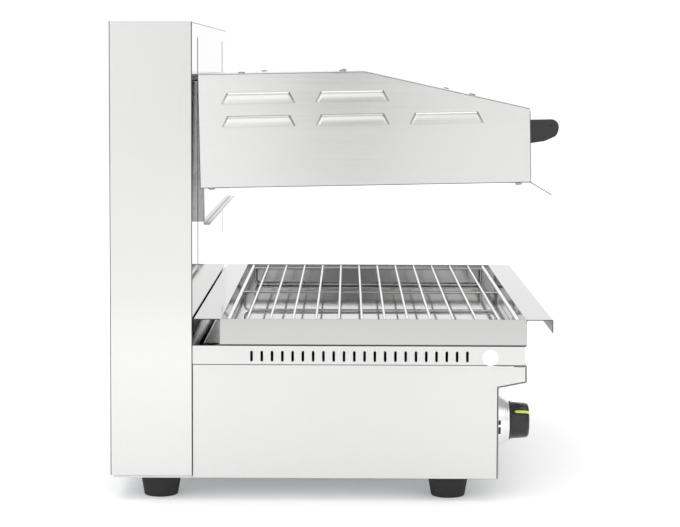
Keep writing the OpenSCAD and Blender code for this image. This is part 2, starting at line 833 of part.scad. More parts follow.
// a nylon gland: domed nut, hexagon body below the floor, thread and lock nut above it
module cable_gland() color("dimgray")
    gland_place() difference() {
        union() {
            translate([0, 0, -gland_body_h]) cylinder(d = gland_hex_d, h = gland_body_h, $fn = 6);
            translate([0, 0, -gland_h]) rotate_extrude() polygon([
                [0, 0], [gland_bore_d / 2 + 2, 0], [gland_thread_d / 2, 4],
                [gland_thread_d / 2 + 1, gland_h - gland_body_h], [0, gland_h - gland_body_h]]);
            cylinder(d = gland_thread_d, h = sheet + 8);
            translate([0, 0, sheet]) cylinder(d = gland_hex_d, h = 5, $fn = 6);
        }
        cylinder(d = gland_bore_d, h = 3 * gland_h, center = true);
    }

// ---------------------------------------------------------------- tray and grate

module drip_tray() color("silver") {
    path = [[tray_rear_u, rim_z - tray_lip], [tray_rear_u, rim_z],
            [tray_back_u + thin_sheet, rim_z], [tray_back_u + thin_sheet, deck_z + thin_sheet],
            [tray_front_u - thin_sheet, deck_z + thin_sheet], [tray_front_u - thin_sheet, rim_z],
            [tray_front_u + tray_flange, rim_z], [tray_front_u + tray_flange, rim_z - tray_lip]];
    across(-half_w, half_w, folded(path, -thin_sheet));
    pair() block([-half_w, -half_w + thin_sheet], [tray_back_u, tray_front_u], [deck_z, rim_z]);
}

// a straight bar of diameter d along X
module bar(d, u, z, x0, x1)
    translate([x0, yf(u), z]) rotate([0, 90, 0]) cylinder(d = d, h = x1 - x0);

module grate() color("gainsboro") {
    $fn = 24;
    reach = half_w - thin_sheet - grate_play;
    first = grate_back_u + (grate_depth - (bar_count - 1) * bar_pitch) / 2;
    front = grate_back_u + grate_depth;
    for (i = [0:bar_count - 1]) bar(bar_d, first + i * bar_pitch, bar_z, -reach, reach);
    for (u = [grate_back_u, front])
        bar(edge_bar_d, u, rim_z - edge_bar_d / 2 - 0.2, -reach, reach);
    for (x = [-leg_x, 0, leg_x]) grate_leg(x, grate_back_u, front);
}

// a cross wire under the bars, and the bent wire below it that stands on the tray's floor
module grate_leg(x, u0, u1) {
    u_low = u0 + bar_d;
    u_high = u1 - bar_d;
    translate([x, yf(u0), leg_high_z]) rotate([90, 0, 0]) cylinder(d = bar_d, h = u1 - u0);
    translate([x, yf(u_low + leg_bend), leg_low_z]) rotate([90, 0, 0])
        cylinder(d = bar_d, h = u_high - u_low - 2 * leg_bend);
    for (u = [u_low, u_high])
        translate([x, yf(u), leg_low_z + leg_bend])
            cylinder(d = bar_d, h = leg_high_z - leg_low_z - leg_bend);
    leg_corner(x, u_low + leg_bend, leg_low_z + leg_bend, 270);
    leg_corner(x, u_high - leg_bend, leg_low_z + leg_bend, 180);
}

// a quarter bend of the leg's wire about [u, z]
module leg_corner(x, u, z, turn)
    translate([x, yf(u), z]) rotate([90, 0, 90]) rotate([0, 0, turn])
        rotate_extrude(angle = 90) translate([leg_bend, 0]) circle(d = bar_d);

// ---------------------------------------------------------------- hood

module louvre_places(count_low = 3, count_high = 2) {
    for (i = [0:count_low - 1])
        translate([0, -(louvre_first + i * louvre_pitch), louvre_low]) children();
    for (i = [0:count_high - 1])
        translate([0, -(louvre_first + i * louvre_pitch), louvre_low + louvre_rise]) children();
}

// the pressed form of a louvre on a side whose outer face is x = 0 and faces -X:
// its plan is a trapezium and its section swells from the top edge to the open lower edge
module louvre_form(inset) {
    l = louvre_len / 2 - inset;
    h = louvre_h / 2;
    out = louvre_out - inset;
    intersection() {
        rotate([90, 0, 90]) translate([0, 0, -louvre_out - 1]) linear_extrude(louvre_out + 2)
            polygon([[-l, -h], [l, -h], [l * louvre_slope, h - inset], [-l * louvre_slope, h - inset]]);
        rotate([90, 0, 0]) linear_extrude(louvre_len + 2, center = true)
            polygon(concat([[thin_sheet, -h], [-out, -h]],
                [for (a = [15:15:90]) [-out * cos(a), -h + (louvre_h - inset) * sin(a)]],
                [[thin_sheet, h - inset]]));
    }
}

module hood_side() {
    ridge = mitre(side_top_f, 1, -thin_sheet);
    front_z = hood_front_h - thin_sheet / cos(slope_angle);
    end = thin_sheet + seam;
    outline = [[0, 0], [hood_len, 0], [hood_len, front_z], ridge, [0, hood_rear_h - thin_sheet]];
    top_path = [[end, hood_rear_h - thin_sheet], ridge,
                [hood_len - end, front_z + end * tan(slope_angle)]];
    on_hood() difference() {
        union() {
            across_hood(-half_w, -half_w + thin_sheet, outline);
            across_hood(-half_w, -half_w + thin_sheet + return_w, folded(top_path, -thin_sheet));
            hood_block([-half_w, -half_w + thin_sheet + return_w], [end, hood_len - end],
                       [0, thin_sheet]);
            louvre_places() translate([-half_w, 0, 0]) louvre_form(0);
        }
        louvre_places() translate([-half_w, 0, -0.01]) louvre_form(thin_sheet);
        hood_cover_screw_places() screw_hole();
        hood_frame_screw_places() screw_hole();
    }
}

module hood_side_left() color("gainsboro") hood_side();
module hood_side_right() color("gainsboro") mirror([1, 0, 0]) hood_side();

module hood_cover_screw_places()
    for (s = [-1, 1], f = cover_screws_f)
        if (f < hood_flat)
            translate([s * hood_screw_x, -f, hood_rear_h]) children();
        else
            translate([s * hood_screw_x, -f, hood_rear_h - (f - hood_flat) * tan(slope_angle)])
                rotate([slope_angle, 0, 0]) children();

module hood_frame_screw_places()
    for (s = [-1, 1], f = frame_screws_f)
        translate([s * hood_screw_x, -f, f > hood_flat ? -thin_sheet : 0])
            rotate([180, 0, 0]) children();

module hood_top_cover() color("whitesmoke")
    on_hood() difference() {
        across_hood(-half_w, half_w, folded(side_top_f, -thin_sheet));
        hood_cover_screw_places() screw_hole();
    }

module hood_front_panel() color("gainsboro")
    on_hood() difference() {
        hood_block([-half_w + thin_sheet + seam, half_w - thin_sheet - seam],
                   [hood_len - thin_sheet, hood_len], [0, hood_front_h - thin_sheet - seam]);
        handle_screw_places() screw_hole();
    }

module hood_rear_panel() color("gainsboro")
    on_hood() hood_block([-half_w + thin_sheet + seam, half_w - thin_sheet - seam],
                         [0, thin_sheet], [0, hood_rear_h - thin_sheet - seam]);

module hood_bottom_frame() color("silver") {
    x = half_w - thin_sheet - seam;
    f = [thin_sheet + seam, hood_len - thin_sheet - seam];
    lip = 8;
    on_hood() difference() {
        union() {
            hood_block([-x, x], f, [thin_sheet, 2 * thin_sheet]);
            hood_block([-half_w + hood_rim - thin_sheet, half_w - hood_rim + thin_sheet],
                       [hood_rim - thin_sheet, hood_len - hood_rim + thin_sheet],
                       [thin_sheet, thin_sheet + lip]);
        }
        hood_block([-half_w + hood_rim, half_w - hood_rim], [hood_rim, hood_len - hood_rim],
                   [-1, thin_sheet + lip + 1]);
        hood_frame_screw_places() screw_hole();
    }
}

module hood_screws() color("silver")
    on_hood() {
        hood_cover_screw_places() screw();
        hood_frame_screw_places() screw();
    }

module visor() color("silver") {
    path = [[hood_len - visor_flange, -thin_sheet], [hood_len, -thin_sheet],
            [hood_len + visor_len * cos(visor_fall), -thin_sheet - visor_len * sin(visor_fall)]];
    on_hood() difference() {
        across_hood(-half_w + visor_inset, half_w - visor_inset, folded(path, thin_sheet));
        hood_frame_screw_places() screw_hole();
    }
}

// outline of the handle's end, from the hood's front
function handle_outline() =
    let (front = hood_len + handle_reach, low = handle_top - handle_h, r = handle_h * 0.3,
         toe = handle_h * 0.41)
    concat([[hood_len, handle_top], [hood_len, low]],
           [[front - 2 * r, low + toe * 0.3]],
           [for (a = [-60:15:90]) [front - r + r * cos(a), handle_top - r + r * sin(a)
                                   - (a < 0 ? (handle_h - 2 * r - toe * 0.6) * sin(-a) : 0)]]);

module handle_bar() color("silver")
    on_hood() difference() {
        across_hood(-handle_len / 2 + handle_cap, handle_len / 2 - handle_cap, handle_outline());
        difference() {
            hood_block([-handle_len, handle_len],
                       [hood_len + handle_wall, hood_len + handle_reach - 2 * handle_wall],
                       [handle_top - handle_h - 10, handle_top - handle_wall]);
            for (s = [-1, 1])
                translate([s * handle_lug_x, 0, handle_screw_z]) rotate([90, 0, 0])
                    translate([0, 0, hood_len]) cylinder(d = handle_lug_d, h = handle_lug_h);
        }
        handle_screw_places() screw_hole();
    }

// moulded caps that close the bar, each with a set-back nose and a small slot
module handle_caps() color("black") {
    front = hood_len + handle_reach;
    nose = 8;
    notch = [front - nose - 5, front - nose - 1.4];
    on_hood() pair() difference() {
        across_hood(-handle_len / 2, -handle_len / 2 + handle_cap, handle_outline());
        hood_block([-handle_len, -handle_len / 2 + handle_cap / 4], [front - nose, front + 1],
                   [handle_top - handle_h - 1, handle_top + 1]);
        hood_block([-handle_len, -handle_len / 2 + handle_cap / 10], notch,
                   [handle_top - 7.4, handle_top - 6.4]);
    }
}

module handle_screw_places()
    for (s = [-1, 1])
        translate([s * handle_lug_x, -hood_len + thin_sheet, handle_screw_z])
            rotate([-90, 0, 0]) children();

module handle_screws() color("silver") on_hood() handle_screw_places() screw();

// ---------------------------------------------------------------- lift gear on the hood

module lift_plate() color("silver") {
    high = hood_rear_h - 6;
    on_hood() {
        hood_block([-lift_plate_w / 2, lift_plate_w / 2], [-lift_plate_t, 0],
                   [-lift_plate_drop, high]);
        hood_block([-lift_plate_w / 2, lift_plate_w / 2],
                   [-lift_plate_t, lift_flange - lift_plate_t],
                   [-lift_plate_drop, lift_plate_t - lift_plate_drop]);
    }
}

module lift_arms() color("dimgray") {
    outline = [[arm_rear_u, arm_z], arm_foot,
               hood_point(-lift_plate_t, arm_h + 2 - lift_plate_drop), [arm_rear_u, arm_z + arm_h]];
    pair() across(arm_x - arm_t / 2, arm_x + arm_t / 2, outline);
}

module carriage_tube() color("silver") {
    x = arm_x - arm_t / 2;
    u = [tube_u, tube_u + tube_size];
    z = [tube_z, tube_z + tube_size];
    difference() {
        block([-x, x], u, z);
        block([-x - 1, x + 1], [u[0] + tube_wall, u[1] - tube_wall],
              [z[0] + tube_wall, z[1] - tube_wall]);
    }
    spring_places() translate([0, 0, z[1]]) spring_plug();
}

module slide_blocks() color("ivory")
    for (s = [-1, 1], z = [arm_z, arm_z + arm_h - block_size])
        translate([s * rod_x, yf(rod_back), z]) difference() {
            translate([-block_size / 2, -block_size / 2, 0])
                cube([block_size, block_size, block_size]);
            translate([0, 0, -1]) cylinder(d = rod_d + 2 * rod_play, h = block_size + 2);
        }

// ---------------------------------------------------------------- heating

module reflector() color("gainsboro") {
    low = 2 * thin_sheet;
    foot = 8;
    f = [hood_rim - 2 - thin_sheet, hood_len - hood_rim + 2 + thin_sheet];
    x = half_w - hood_rim + 2 + thin_sheet;
    slant = 10;
    path = [[f[0] - foot, low], [f[0], low], [f[0] + slant, reflector_z],
            [f[1] - slant, reflector_z], [f[1], low], [f[1] + foot, low]];
    shell = folded(path, thin_sheet);
    wall = [[f[0], low], [f[0] + slant, reflector_z], [f[1] - slant, reflector_z], [f[1], low]];
    on_hood() difference() {
        union() {
            across_hood(-x, x, shell);
            pair() across_hood(-x, -x + thin_sheet, wall);
        }
        element_leg_places() cylinder(d = element_d + 1, h = 3 * reflector_z, center = true);
    }
}

module element_leg_places()
    for (s = [-1, 1], i = [0, element_passes - 1])
        translate([s * zone_x[0], -(pass_f0 + i * element_pitch), element_z]) children();

// one zone's heating tube: straight passes along X joined by half-turns, its ends turned up
module heating_element() {
    run = zone_x[1] - zone_x[0];
    last = element_passes - 1;
    on_hood() {
        for (i = [0:last])
            translate([zone_x[0], -(pass_f0 + i * element_pitch), element_z])
                rotate([0, 90, 0]) cylinder(d = element_d, h = run);
        for (i = [0:last - 1])
            translate([zone_x[i % 2 == 0 ? 1 : 0], -(pass_f0 + (i + 0.5) * element_pitch),
                       element_z])
                rotate([0, 0, i % 2 == 0 ? -90 : 90]) rotate_extrude(angle = 180)
                    translate([zone_bend, 0]) circle(d = element_d);
        for (i = [0, last])
            translate([zone_x[0], -(pass_f0 + i * element_pitch), element_z]) {
                sphere(d = element_d);
                cylinder(d = element_d, h = terminal_z + terminal_h - 2 - element_z);
            }
    }
}

module heating_element_left() color("dimgray") mirror([1, 0, 0]) heating_element();
module heating_element_right() color("dimgray") heating_element();

// combs that hang from the reflector and carry the tubes
module element_hangers() color("silver") {
    span = [pass_f0 - 12, pass_f0 + (element_passes - 1) * element_pitch + 12];
    pair() for (k = [0.25, 0.75])
        let (x = zone_x[0] + k * (zone_x[1] - zone_x[0]))
            on_hood() difference() {
                hood_block([x, x + hanger_t], span, [element_z - element_d / 2 - 3, reflector_z]);
                for (i = [0:element_passes - 1])
                    translate([x - 1, -(pass_f0 + i * element_pitch), element_z])
                        rotate([0, 90, 0])
                            cylinder(d = element_d + 2 * hanger_play, h = hanger_t + 2);
            }
}

module insulation_blanket() color("white") {
    x = half_w - hood_rim - 8;
    f = [hood_rim + 14, hood_len - hood_rim - 14];
    low = reflector_z + thin_sheet;
    on_hood() difference() {
        hood_block([-x, x], f, [low, low + blanket_t]);
        element_leg_places() cylinder(d = element_d + 2, h = 3 * reflector_z, center = true);
    }
}

module element_terminals() color("ivory")
    on_hood() for (s = [-1, 1], i = [0, element_passes - 1])
        translate([s * zone_x[0], -(pass_f0 + i * element_pitch), terminal_z])
            ring(terminal_d, element_d + 0.4, terminal_h - 2);

// ---------------------------------------------------------------- every piece

column_side_left();
column_side_right();
column_front_panel();
column_back_panel();
column_top_cover();
chassis_floor();
upper_cross_rail();
lower_cross_rail();
guide_rods();
rod_collars();
stop_buffers();
lift_spring_left();
lift_spring_right();
base_side_left();
base_side_right();
front_panel();
vent_frame();
deck_plate();
side_caps();
feet();
foot_screws();
chassis_screws();
back_panel_screws();
dial_bezel_left();
dial_bezel_right();
pilot_lamp_left();
pilot_lamp_right();
energy_regulator_left();
energy_regulator_right();
terminal_block();
cable_gland();
knob_left();
knob_pointer_left();
regulator_shaft_left();
knob_right();
knob_pointer_right();
regulator_shaft_right();
drip_tray();
grate();
hood_side_left();
hood_side_right();
hood_top_cover();
hood_front_panel();
hood_rear_panel();
hood_bottom_frame();
lift_plate();
lift_arms();
carriage_tube();
slide_blocks();
reflector();
heating_element_left();
heating_element_right();
element_hangers();
element_terminals();
insulation_blanket();
handle_bar();
handle_caps();
handle_screws();
visor();
hood_screws();
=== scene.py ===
"""The finish of a lift-hood salamander grill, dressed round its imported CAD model.

Run as a script, it makes every piece in order: brushed panels with broken edges, folded sheets
with real bends, pressed louvres, the wire grate, wound springs, screws, knobs and dials, lamps,
heating gear and insulation, and then the pale studio that they stand in.
"""
import json
import math

import bmesh
import bpy
from mathutils import Matrix, Vector

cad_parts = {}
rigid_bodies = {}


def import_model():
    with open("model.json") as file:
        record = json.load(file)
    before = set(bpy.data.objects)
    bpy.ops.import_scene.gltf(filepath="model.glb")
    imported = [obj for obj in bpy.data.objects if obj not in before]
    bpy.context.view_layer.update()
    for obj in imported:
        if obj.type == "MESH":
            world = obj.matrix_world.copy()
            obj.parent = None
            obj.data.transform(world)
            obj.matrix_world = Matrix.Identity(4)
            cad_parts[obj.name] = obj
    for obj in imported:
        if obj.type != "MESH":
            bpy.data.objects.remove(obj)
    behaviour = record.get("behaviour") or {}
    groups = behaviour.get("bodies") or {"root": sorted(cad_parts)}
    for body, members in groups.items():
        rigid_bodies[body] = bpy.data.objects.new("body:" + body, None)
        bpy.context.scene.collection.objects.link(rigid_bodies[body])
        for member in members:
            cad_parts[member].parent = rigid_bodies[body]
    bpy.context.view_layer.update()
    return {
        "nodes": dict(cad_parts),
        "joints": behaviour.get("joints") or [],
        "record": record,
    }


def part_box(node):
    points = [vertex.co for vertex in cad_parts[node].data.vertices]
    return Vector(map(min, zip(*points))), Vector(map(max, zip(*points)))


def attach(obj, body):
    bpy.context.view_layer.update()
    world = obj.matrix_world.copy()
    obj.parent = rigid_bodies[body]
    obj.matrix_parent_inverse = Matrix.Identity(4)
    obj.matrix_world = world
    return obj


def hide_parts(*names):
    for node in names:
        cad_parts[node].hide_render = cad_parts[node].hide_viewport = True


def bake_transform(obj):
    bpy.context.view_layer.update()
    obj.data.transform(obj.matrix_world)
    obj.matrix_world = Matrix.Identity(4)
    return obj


bl_info = {
    "name": "Lift-Hood Grill",
    "version": (1, 0, 0),
    "blender": (4, 5, 0),
    "location": "3D View > Sidebar > Grill",
    "description": "Makes the pieces and finishes of a lift-hood salamander grill",
    "category": "Object",
}

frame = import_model()
RECORD = frame["record"]
SLOT_OF = {part["node"]: part["material_slot"] for part in RECORD["subparts"]}
BODY_OF = {node: body for body, nodes in RECORD["behaviour"]["bodies"].items() for node in nodes}
SLOT_COLOR = {row["slot"]: row["base_color"][:3] for row in RECORD["materials"]}
JOINT = {joint["name"]: joint for joint in frame["joints"]}
HANDS = ("left", "right")

SAME_SPOT = 2e-6         # vertices of the CAD that lie closer than this are one
TOUCH = 1e-5             # places closer than this count as the same place
SEAM = 0.0002            # gap between two sheets that meet at a corner
SHARP_TURN = 0.6         # an edge that turns by more than this, in radians, is sharp
SHORT_EDGE = 0.004       # a shorter edge is left unground
EDGE_SHARES = {"broad": 0.95, "narrow": 0.12, "inner": 0.08}
LEVEL = 0.7              # a face whose normal rises by more than this lies level
NOISE_BAND = (0.3, 0.7)  # where nearly all values of a noise texture lie


# ------------------------------------------------------------------ settings

def size(name, description, default):
    """A length in metres that a user may change."""
    return bpy.props.FloatProperty(name=name, description=description, default=default,
                                   min=0.0, precision=5, unit="LENGTH")


def color(name, description, default):
    """A colour that a user may change."""
    return bpy.props.FloatVectorProperty(name=name, description=description, default=default,
                                         subtype="COLOR", size=3, min=0.0, max=1.0)


def count(name, description, default):
    """A number of like parts."""
    return bpy.props.IntProperty(name=name, description=description, default=default, min=1)


class GRILL_PG_metals(bpy.types.PropertyGroup):
    """Colours and brush marks of the metals"""
    stainless: color("Stainless", "Brushed outer panels", SLOT_COLOR["stainless"])
    polished: color("Polished", "Mirror-like panels and reflector", SLOT_COLOR["polished_stainless"])
    galvanised: color("Galvanised", "Inner sheets and rails", SLOT_COLOR["galvanised"])
    bright: color("Ground steel", "Rods and shafts", SLOT_COLOR["bright_steel"])
    screw: color("Screws", "Plain steel of the screws", SLOT_COLOR["fastener"])
    chrome: color("Chrome", "Dial bezels", SLOT_COLOR["chrome"])
    wire: color("Plated wire", "Grate", SLOT_COLOR["chromed_wire"])
    spring: color("Spring wire", "Lift springs", SLOT_COLOR["spring_steel"])
    sheath: color("Heating tube", "Oxidised sheath", SLOT_COLOR["element_sheath"])
    aluminium: color("Aluminium", "Handle bar", SLOT_COLOR["aluminium_bar"])
    brush_width: size("Brush line", "Width of one brush mark", 0.0005)
    brush_depth: size("Brush depth", "Depth of the brush marks", 0.000006)


class GRILL_PG_mouldings(bpy.types.PropertyGroup):
    """Colours of the plastics, the rubber and the ceramic"""
    black: color("Black moulding", "Knobs and handle caps", SLOT_COLOR["black_plastic"])
    pointer: color("Pointer", "Bar set into each knob", (0.74, 0.82, 0.16))
    white: color("White moulding", "Caps on the sides", SLOT_COLOR["white_plastic"])
    acetal: color("Natural plastic", "Regulators and slide blocks", SLOT_COLOR["acetal"])
    gland: color("Nylon", "Cable gland", SLOT_COLOR["gland_plastic"])
    rubber: color("Rubber", "Feet and stop buffers", SLOT_COLOR["rubber"])
    ceramic: color("Ceramic", "Insulators of the tubes", SLOT_COLOR["ceramic"])
    lens: color("Lamp lens", "Pilot lamps", SLOT_COLOR["lamp_lens"])
    blanket: color("Mineral fibre", "Insulation above the reflector", SLOT_COLOR["blanket"])


class GRILL_PG_sheets(bpy.types.PropertyGroup):
    """Sizes of the folded sheets"""
    body_sheet: size("Body sheet", "Thickness of the base and column sheet", 0.0012)
    thin_sheet: size("Thin sheet", "Thickness of the hood and tray sheet", 0.001)
    bend: size("Bend", "Inside radius of a fold", 0.001)
    edge: size("Broken edge", "Width of the bevel along cut edges", 0.00045)


class GRILL_PG_hood(bpy.types.PropertyGroup):
    """Sizes of the hood's shell and louvres"""
    length: size("Length", "Hood, back to front", 0.364)
    rear_height: size("Rear height", "Height at the back", 0.1255)
    front_height: size("Front height", "Height at the front", 0.0815)
    flat: size("Flat top", "Length of the flat top", 0.183)
    corner: size("Front corner", "Radius of the upper front corner", 0.0034)
    louvre_length: size("Louvre length", "Length along the open edge", 0.081)
    louvre_height: size("Louvre height", "Height of the pressed form", 0.012)
    louvre_depth: size("Louvre depth", "How far a louvre stands out", 0.004)
    louvre_taper: size("Louvre taper", "How much shorter its upper edge is", 0.012)
    louvre_end: size("Louvre end", "Length over which an end falls away", 0.003)
    louvre_pitch: size("Louvre spacing", "Spacing along the hood", 0.103)
    louvre_first: size("First louvre", "Distance of the first from the back", 0.066)
    louvre_low: size("Lower row", "Height of the lower row", 0.073)
    louvre_rise: size("Row spacing", "Distance between the rows", 0.0254)


class GRILL_PG_screws(bpy.types.PropertyGroup):
    """Sizes of the pan-head screws"""
    head: size("Head", "Diameter of the head", 0.0076)
    head_height: size("Head height", "Height of the head", 0.002)
    shank: size("Shank", "Diameter of the shank", 0.004)
    shank_length: size("Shank length", "Length of the shank", 0.008)
    recess: size("Recess", "Width of the cross across its arms", 0.0042)


class GRILL_PG_grate(bpy.types.PropertyGroup):
    """Sizes of the wire grate"""
    bars: count("Thin bars", "Number of thin bars", 12)
    pitch: size("Spacing", "Spacing of the thin bars", 0.0254)
    bar: size("Bar", "Diameter of the thin bars and legs", 0.003)
    edge_bar: size("Edge bar", "Diameter of the edge bars", 0.005)
    leg_bend: size("Leg bend", "Radius of the bends of a leg", 0.006)


class GRILL_PG_springs(bpy.types.PropertyGroup):
    """Sizes of the lift springs"""
    diameter: size("Diameter", "Outer diameter of a spring", 0.018)
    wire: size("Wire", "Diameter of the wire", 0.0022)
    turns: count("Turns", "Number of turns", 22)


class GRILL_PG_controls(bpy.types.PropertyGroup):
    """Sizes of the knobs, dials and lamps"""
    knob: size("Knob", "Diameter of a knob at its base", 0.042)
    knob_front: size("Knob front", "Diameter of a knob at its front", 0.0386)
    knob_length: size("Knob length", "Length of a knob", 0.0225)
    flange: size("Flange", "Diameter of the knob's flange", 0.0442)
    bezel: size("Bezel", "Diameter of a dial bezel", 0.067)
    bezel_height: size("Bezel height", "Height of a dial bezel", 0.017)
    pointer: size("Pointer", "Width of the pointer", 0.004)
    marks: count("Marks", "Number of printed marks on a dial", 12)


class GRILL_PG_studio(bpy.types.PropertyGroup):
    """Colours and strength of the studio"""
    floor: color("Floor", "Pale floor", (0.93, 0.93, 0.93))
    surround: color("Surround", "Soft light from all round", (1.0, 1.0, 1.0))
    glow: bpy.props.FloatProperty(name="Glow", description="Light that the floor gives off",
                                  default=0.16, min=0.0)
    overhead: bpy.props.FloatProperty(name="Overhead", description="Power of the upper soft box",
                                      default=150.0, min=0.0, unit="POWER")
    side: bpy.props.FloatProperty(name="Side", description="Power of the low soft box",
                                  default=3.5, min=0.0, unit="POWER")


def settings(name):
    """The scene's settings of one group."""
    return getattr(bpy.context.scene, "grill_" + name)


# ------------------------------------------------------------------ node trees

class Wiring:
    """A node tree being wired: sockets and constants go in through one call."""

    def __init__(self, tree):
        self.tree = tree

    def put(self, socket, value):
        """Links a node or a socket to the socket, or sets its constant."""
        if isinstance(value, bpy.types.Node):
            value = value.outputs[0]
        if isinstance(value, bpy.types.NodeSocket):
            self.tree.links.new(value, socket)
        else:
            socket.default_value = value

    def add(self, kind, values=None, **choices):
        """A new node with its choices made and its inputs filled."""
        node = self.tree.nodes.new(kind)
        for key, value in choices.items():
            setattr(node, key, value)
        for key, value in (values or {}).items():
            self.put(node.inputs[key], value)
        return node

    def math(self, operation, *values, clamp=False):
        node = self.add("ShaderNodeMath", operation=operation, use_clamp=clamp)
        for socket, value in zip(node.inputs, values):
            self.put(socket, value)
        return node.outputs[0]

    def plus(self, a, b):
        return self.math("ADD", a, b)

    def minus(self, a, b):
        return self.math("SUBTRACT", a, b)

    def times(self, a, b):
        return self.math("MULTIPLY", a, b)

    def combine(self, x=0.0, y=0.0, z=0.0):
        return self.add("ShaderNodeCombineXYZ", {0: x, 1: y, 2: z}).outputs[0]

    def split(self, vector):
        return self.add("ShaderNodeSeparateXYZ", {0: vector}).outputs

    def spread(self, value, low, high, source=(0.0, 1.0)):
        """Maps a value from the source range to low..high, and holds it there."""
        return self.add("ShaderNodeMapRange", {0: value, 1: source[0], 2: source[1],
                                               3: low, 4: high}).outputs[0]


class FinishWiring(Wiring):
    """The nodes of one material."""

    def __init__(self, name, metallic=0.0, **constants):
        self.material = bpy.data.materials.new(name)
        self.material.use_nodes = True
        super().__init__(self.material.node_tree)
        self.shader = self.tree.nodes["Principled BSDF"]
        self.shader.inputs["Metallic"].default_value = metallic
        for socket, value in constants.items():
            self.shader.inputs[socket.replace("_", " ")].default_value = value
        self.where = self.add("ShaderNodeTexCoord").outputs["Object"]

    def noise(self, scale, detail=2.0, where=None, roughness=0.5):
        return self.add("ShaderNodeTexNoise", {"Vector": where or self.where, "Scale": scale,
                                               "Detail": detail, "Roughness": roughness}).outputs[0]

    def stretched(self, x, y, z):
        """Noise with its own number of cells per metre along each axis."""
        moved = self.add("ShaderNodeMapping", {"Vector": self.where, "Scale": (x, y, z)})
        return self.noise(1.0, where=moved.outputs[0])

    def choose(self, factor, low, high):
        """A vector that is low where the factor is 0 and high where it is 1."""
        mix = self.add("ShaderNodeMix", data_type="VECTOR")
        self.put(mix.inputs[0], factor)
        self.put(mix.inputs[4], low)
        self.put(mix.inputs[5], high)
        return mix.outputs[1]

    def shade(self, factor, low, high):
        """A colour from low to high as the factor goes from 0 to 1."""
        mix = self.add("ShaderNodeMix", data_type="RGBA")
        self.put(mix.inputs[0], factor)
        self.put(mix.inputs[6], (*low, 1.0))
        self.put(mix.inputs[7], (*high, 1.0))
        return mix.outputs[2]

    def tint(self, value, amount, factor):
        """The colour made darker and lighter by the amount."""
        return self.shade(factor, [c * (1 - amount) for c in value],
                          [min(1.0, c * (1 + amount)) for c in value])

    def finish(self, base, rough, height=None, depth=0.0):
        """Wires up the shader's colour, roughness and relief, and gives the material."""
        self.put(self.shader.inputs["Base Color"], base)
        self.put(self.shader.inputs["Roughness"], rough)
        if height is not None:
            bump = self.add("ShaderNodeBump", {"Height": height, "Distance": depth})
            self.put(self.shader.inputs["Normal"], bump.outputs[0])
        return self.material


class ShapeWiring(Wiring):
    """The nodes of one Geometry Nodes tree with named inputs."""

    def __init__(self, name, takes_geometry, **inputs):
        tree = bpy.data.node_groups.new(name, "GeometryNodeTree")
        tree.is_modifier = True
        super().__init__(tree)
        self.ids = {}
        tree.interface.new_socket("Geometry", in_out="OUTPUT", socket_type="NodeSocketGeometry")
        if takes_geometry:
            tree.interface.new_socket("Geometry", in_out="INPUT", socket_type="NodeSocketGeometry")
        kinds = {float: "NodeSocketFloat", int: "NodeSocketInt"}
        for label, value in inputs.items():
            socket = tree.interface.new_socket(label.replace("_", " ").capitalize(),
                                               in_out="INPUT", socket_type=kinds[type(value)])
            socket.default_value = value
            self.ids[label] = socket.identifier
        socket = tree.interface.new_socket("Material", in_out="INPUT",
                                           socket_type="NodeSocketMaterial")
        self.ids["material"] = socket.identifier
        self.source = self.add("NodeGroupInput")
        self.values = inputs

    def given(self, label):
        """The group input of that label."""
        return next(s for s in self.source.outputs if s.identifier == self.ids[label])

    def instance(self, points, shape, rotation=None, scale=None):
        """The shape as real geometry on every point."""
        node = self.add("GeometryNodeInstanceOnPoints", {"Points": points, "Instance": shape})
        if rotation is not None:
            self.put(node.inputs["Rotation"], rotation)
        if scale is not None:
            self.put(node.inputs["Scale"], scale)
        return self.add("GeometryNodeRealizeInstances", {0: node}).outputs[0]

    def join(self, *shapes):
        node = self.add("GeometryNodeJoinGeometry")
        for shape in shapes:
            self.tree.links.new(shape, node.inputs[0])
        return node.outputs[0]

    def round_wire(self, curve, diameter, resolution):
        """A tube of that diameter along the curve, with closed ends."""
        circle = self.add("GeometryNodeCurvePrimitiveCircle",
                          {"Resolution": resolution, "Radius": self.times(diameter, 0.5)})
        return self.add("GeometryNodeCurveToMesh", {"Curve": curve, "Profile Curve": circle,
                                                    "Fill Caps": True}).outputs[0]

    def close(self, shape):
        """Ends the tree: real geometry, smooth faces and the material."""
        real = self.add("GeometryNodeRealizeInstances", {0: shape})
        smooth = self.add("GeometryNodeSetShadeSmooth", {0: real})
        dressed = self.add("GeometryNodeSetMaterial", {"Geometry": smooth,
                                                       "Material": self.given("material")})
        self.put(self.add("NodeGroupOutput").inputs[0], dressed)
        return self


def shaped(wiring, material, mesh=None, **values):
    """An object that carries the tree, with its inputs set before it is evaluated."""
    thing = bpy.data.objects.new(wiring.tree.name, mesh or bpy.data.meshes.new(wiring.tree.name))
    bpy.context.scene.collection.objects.link(thing)
    modifier = thing.modifiers.new("Shape", "NODES")
    modifier.node_group = wiring.tree
    for label, value in {**wiring.values, **values}.items():
        modifier[wiring.ids[label]] = value
    modifier[wiring.ids["material"]] = material
    return thing


# ------------------------------------------------------------------ finishes

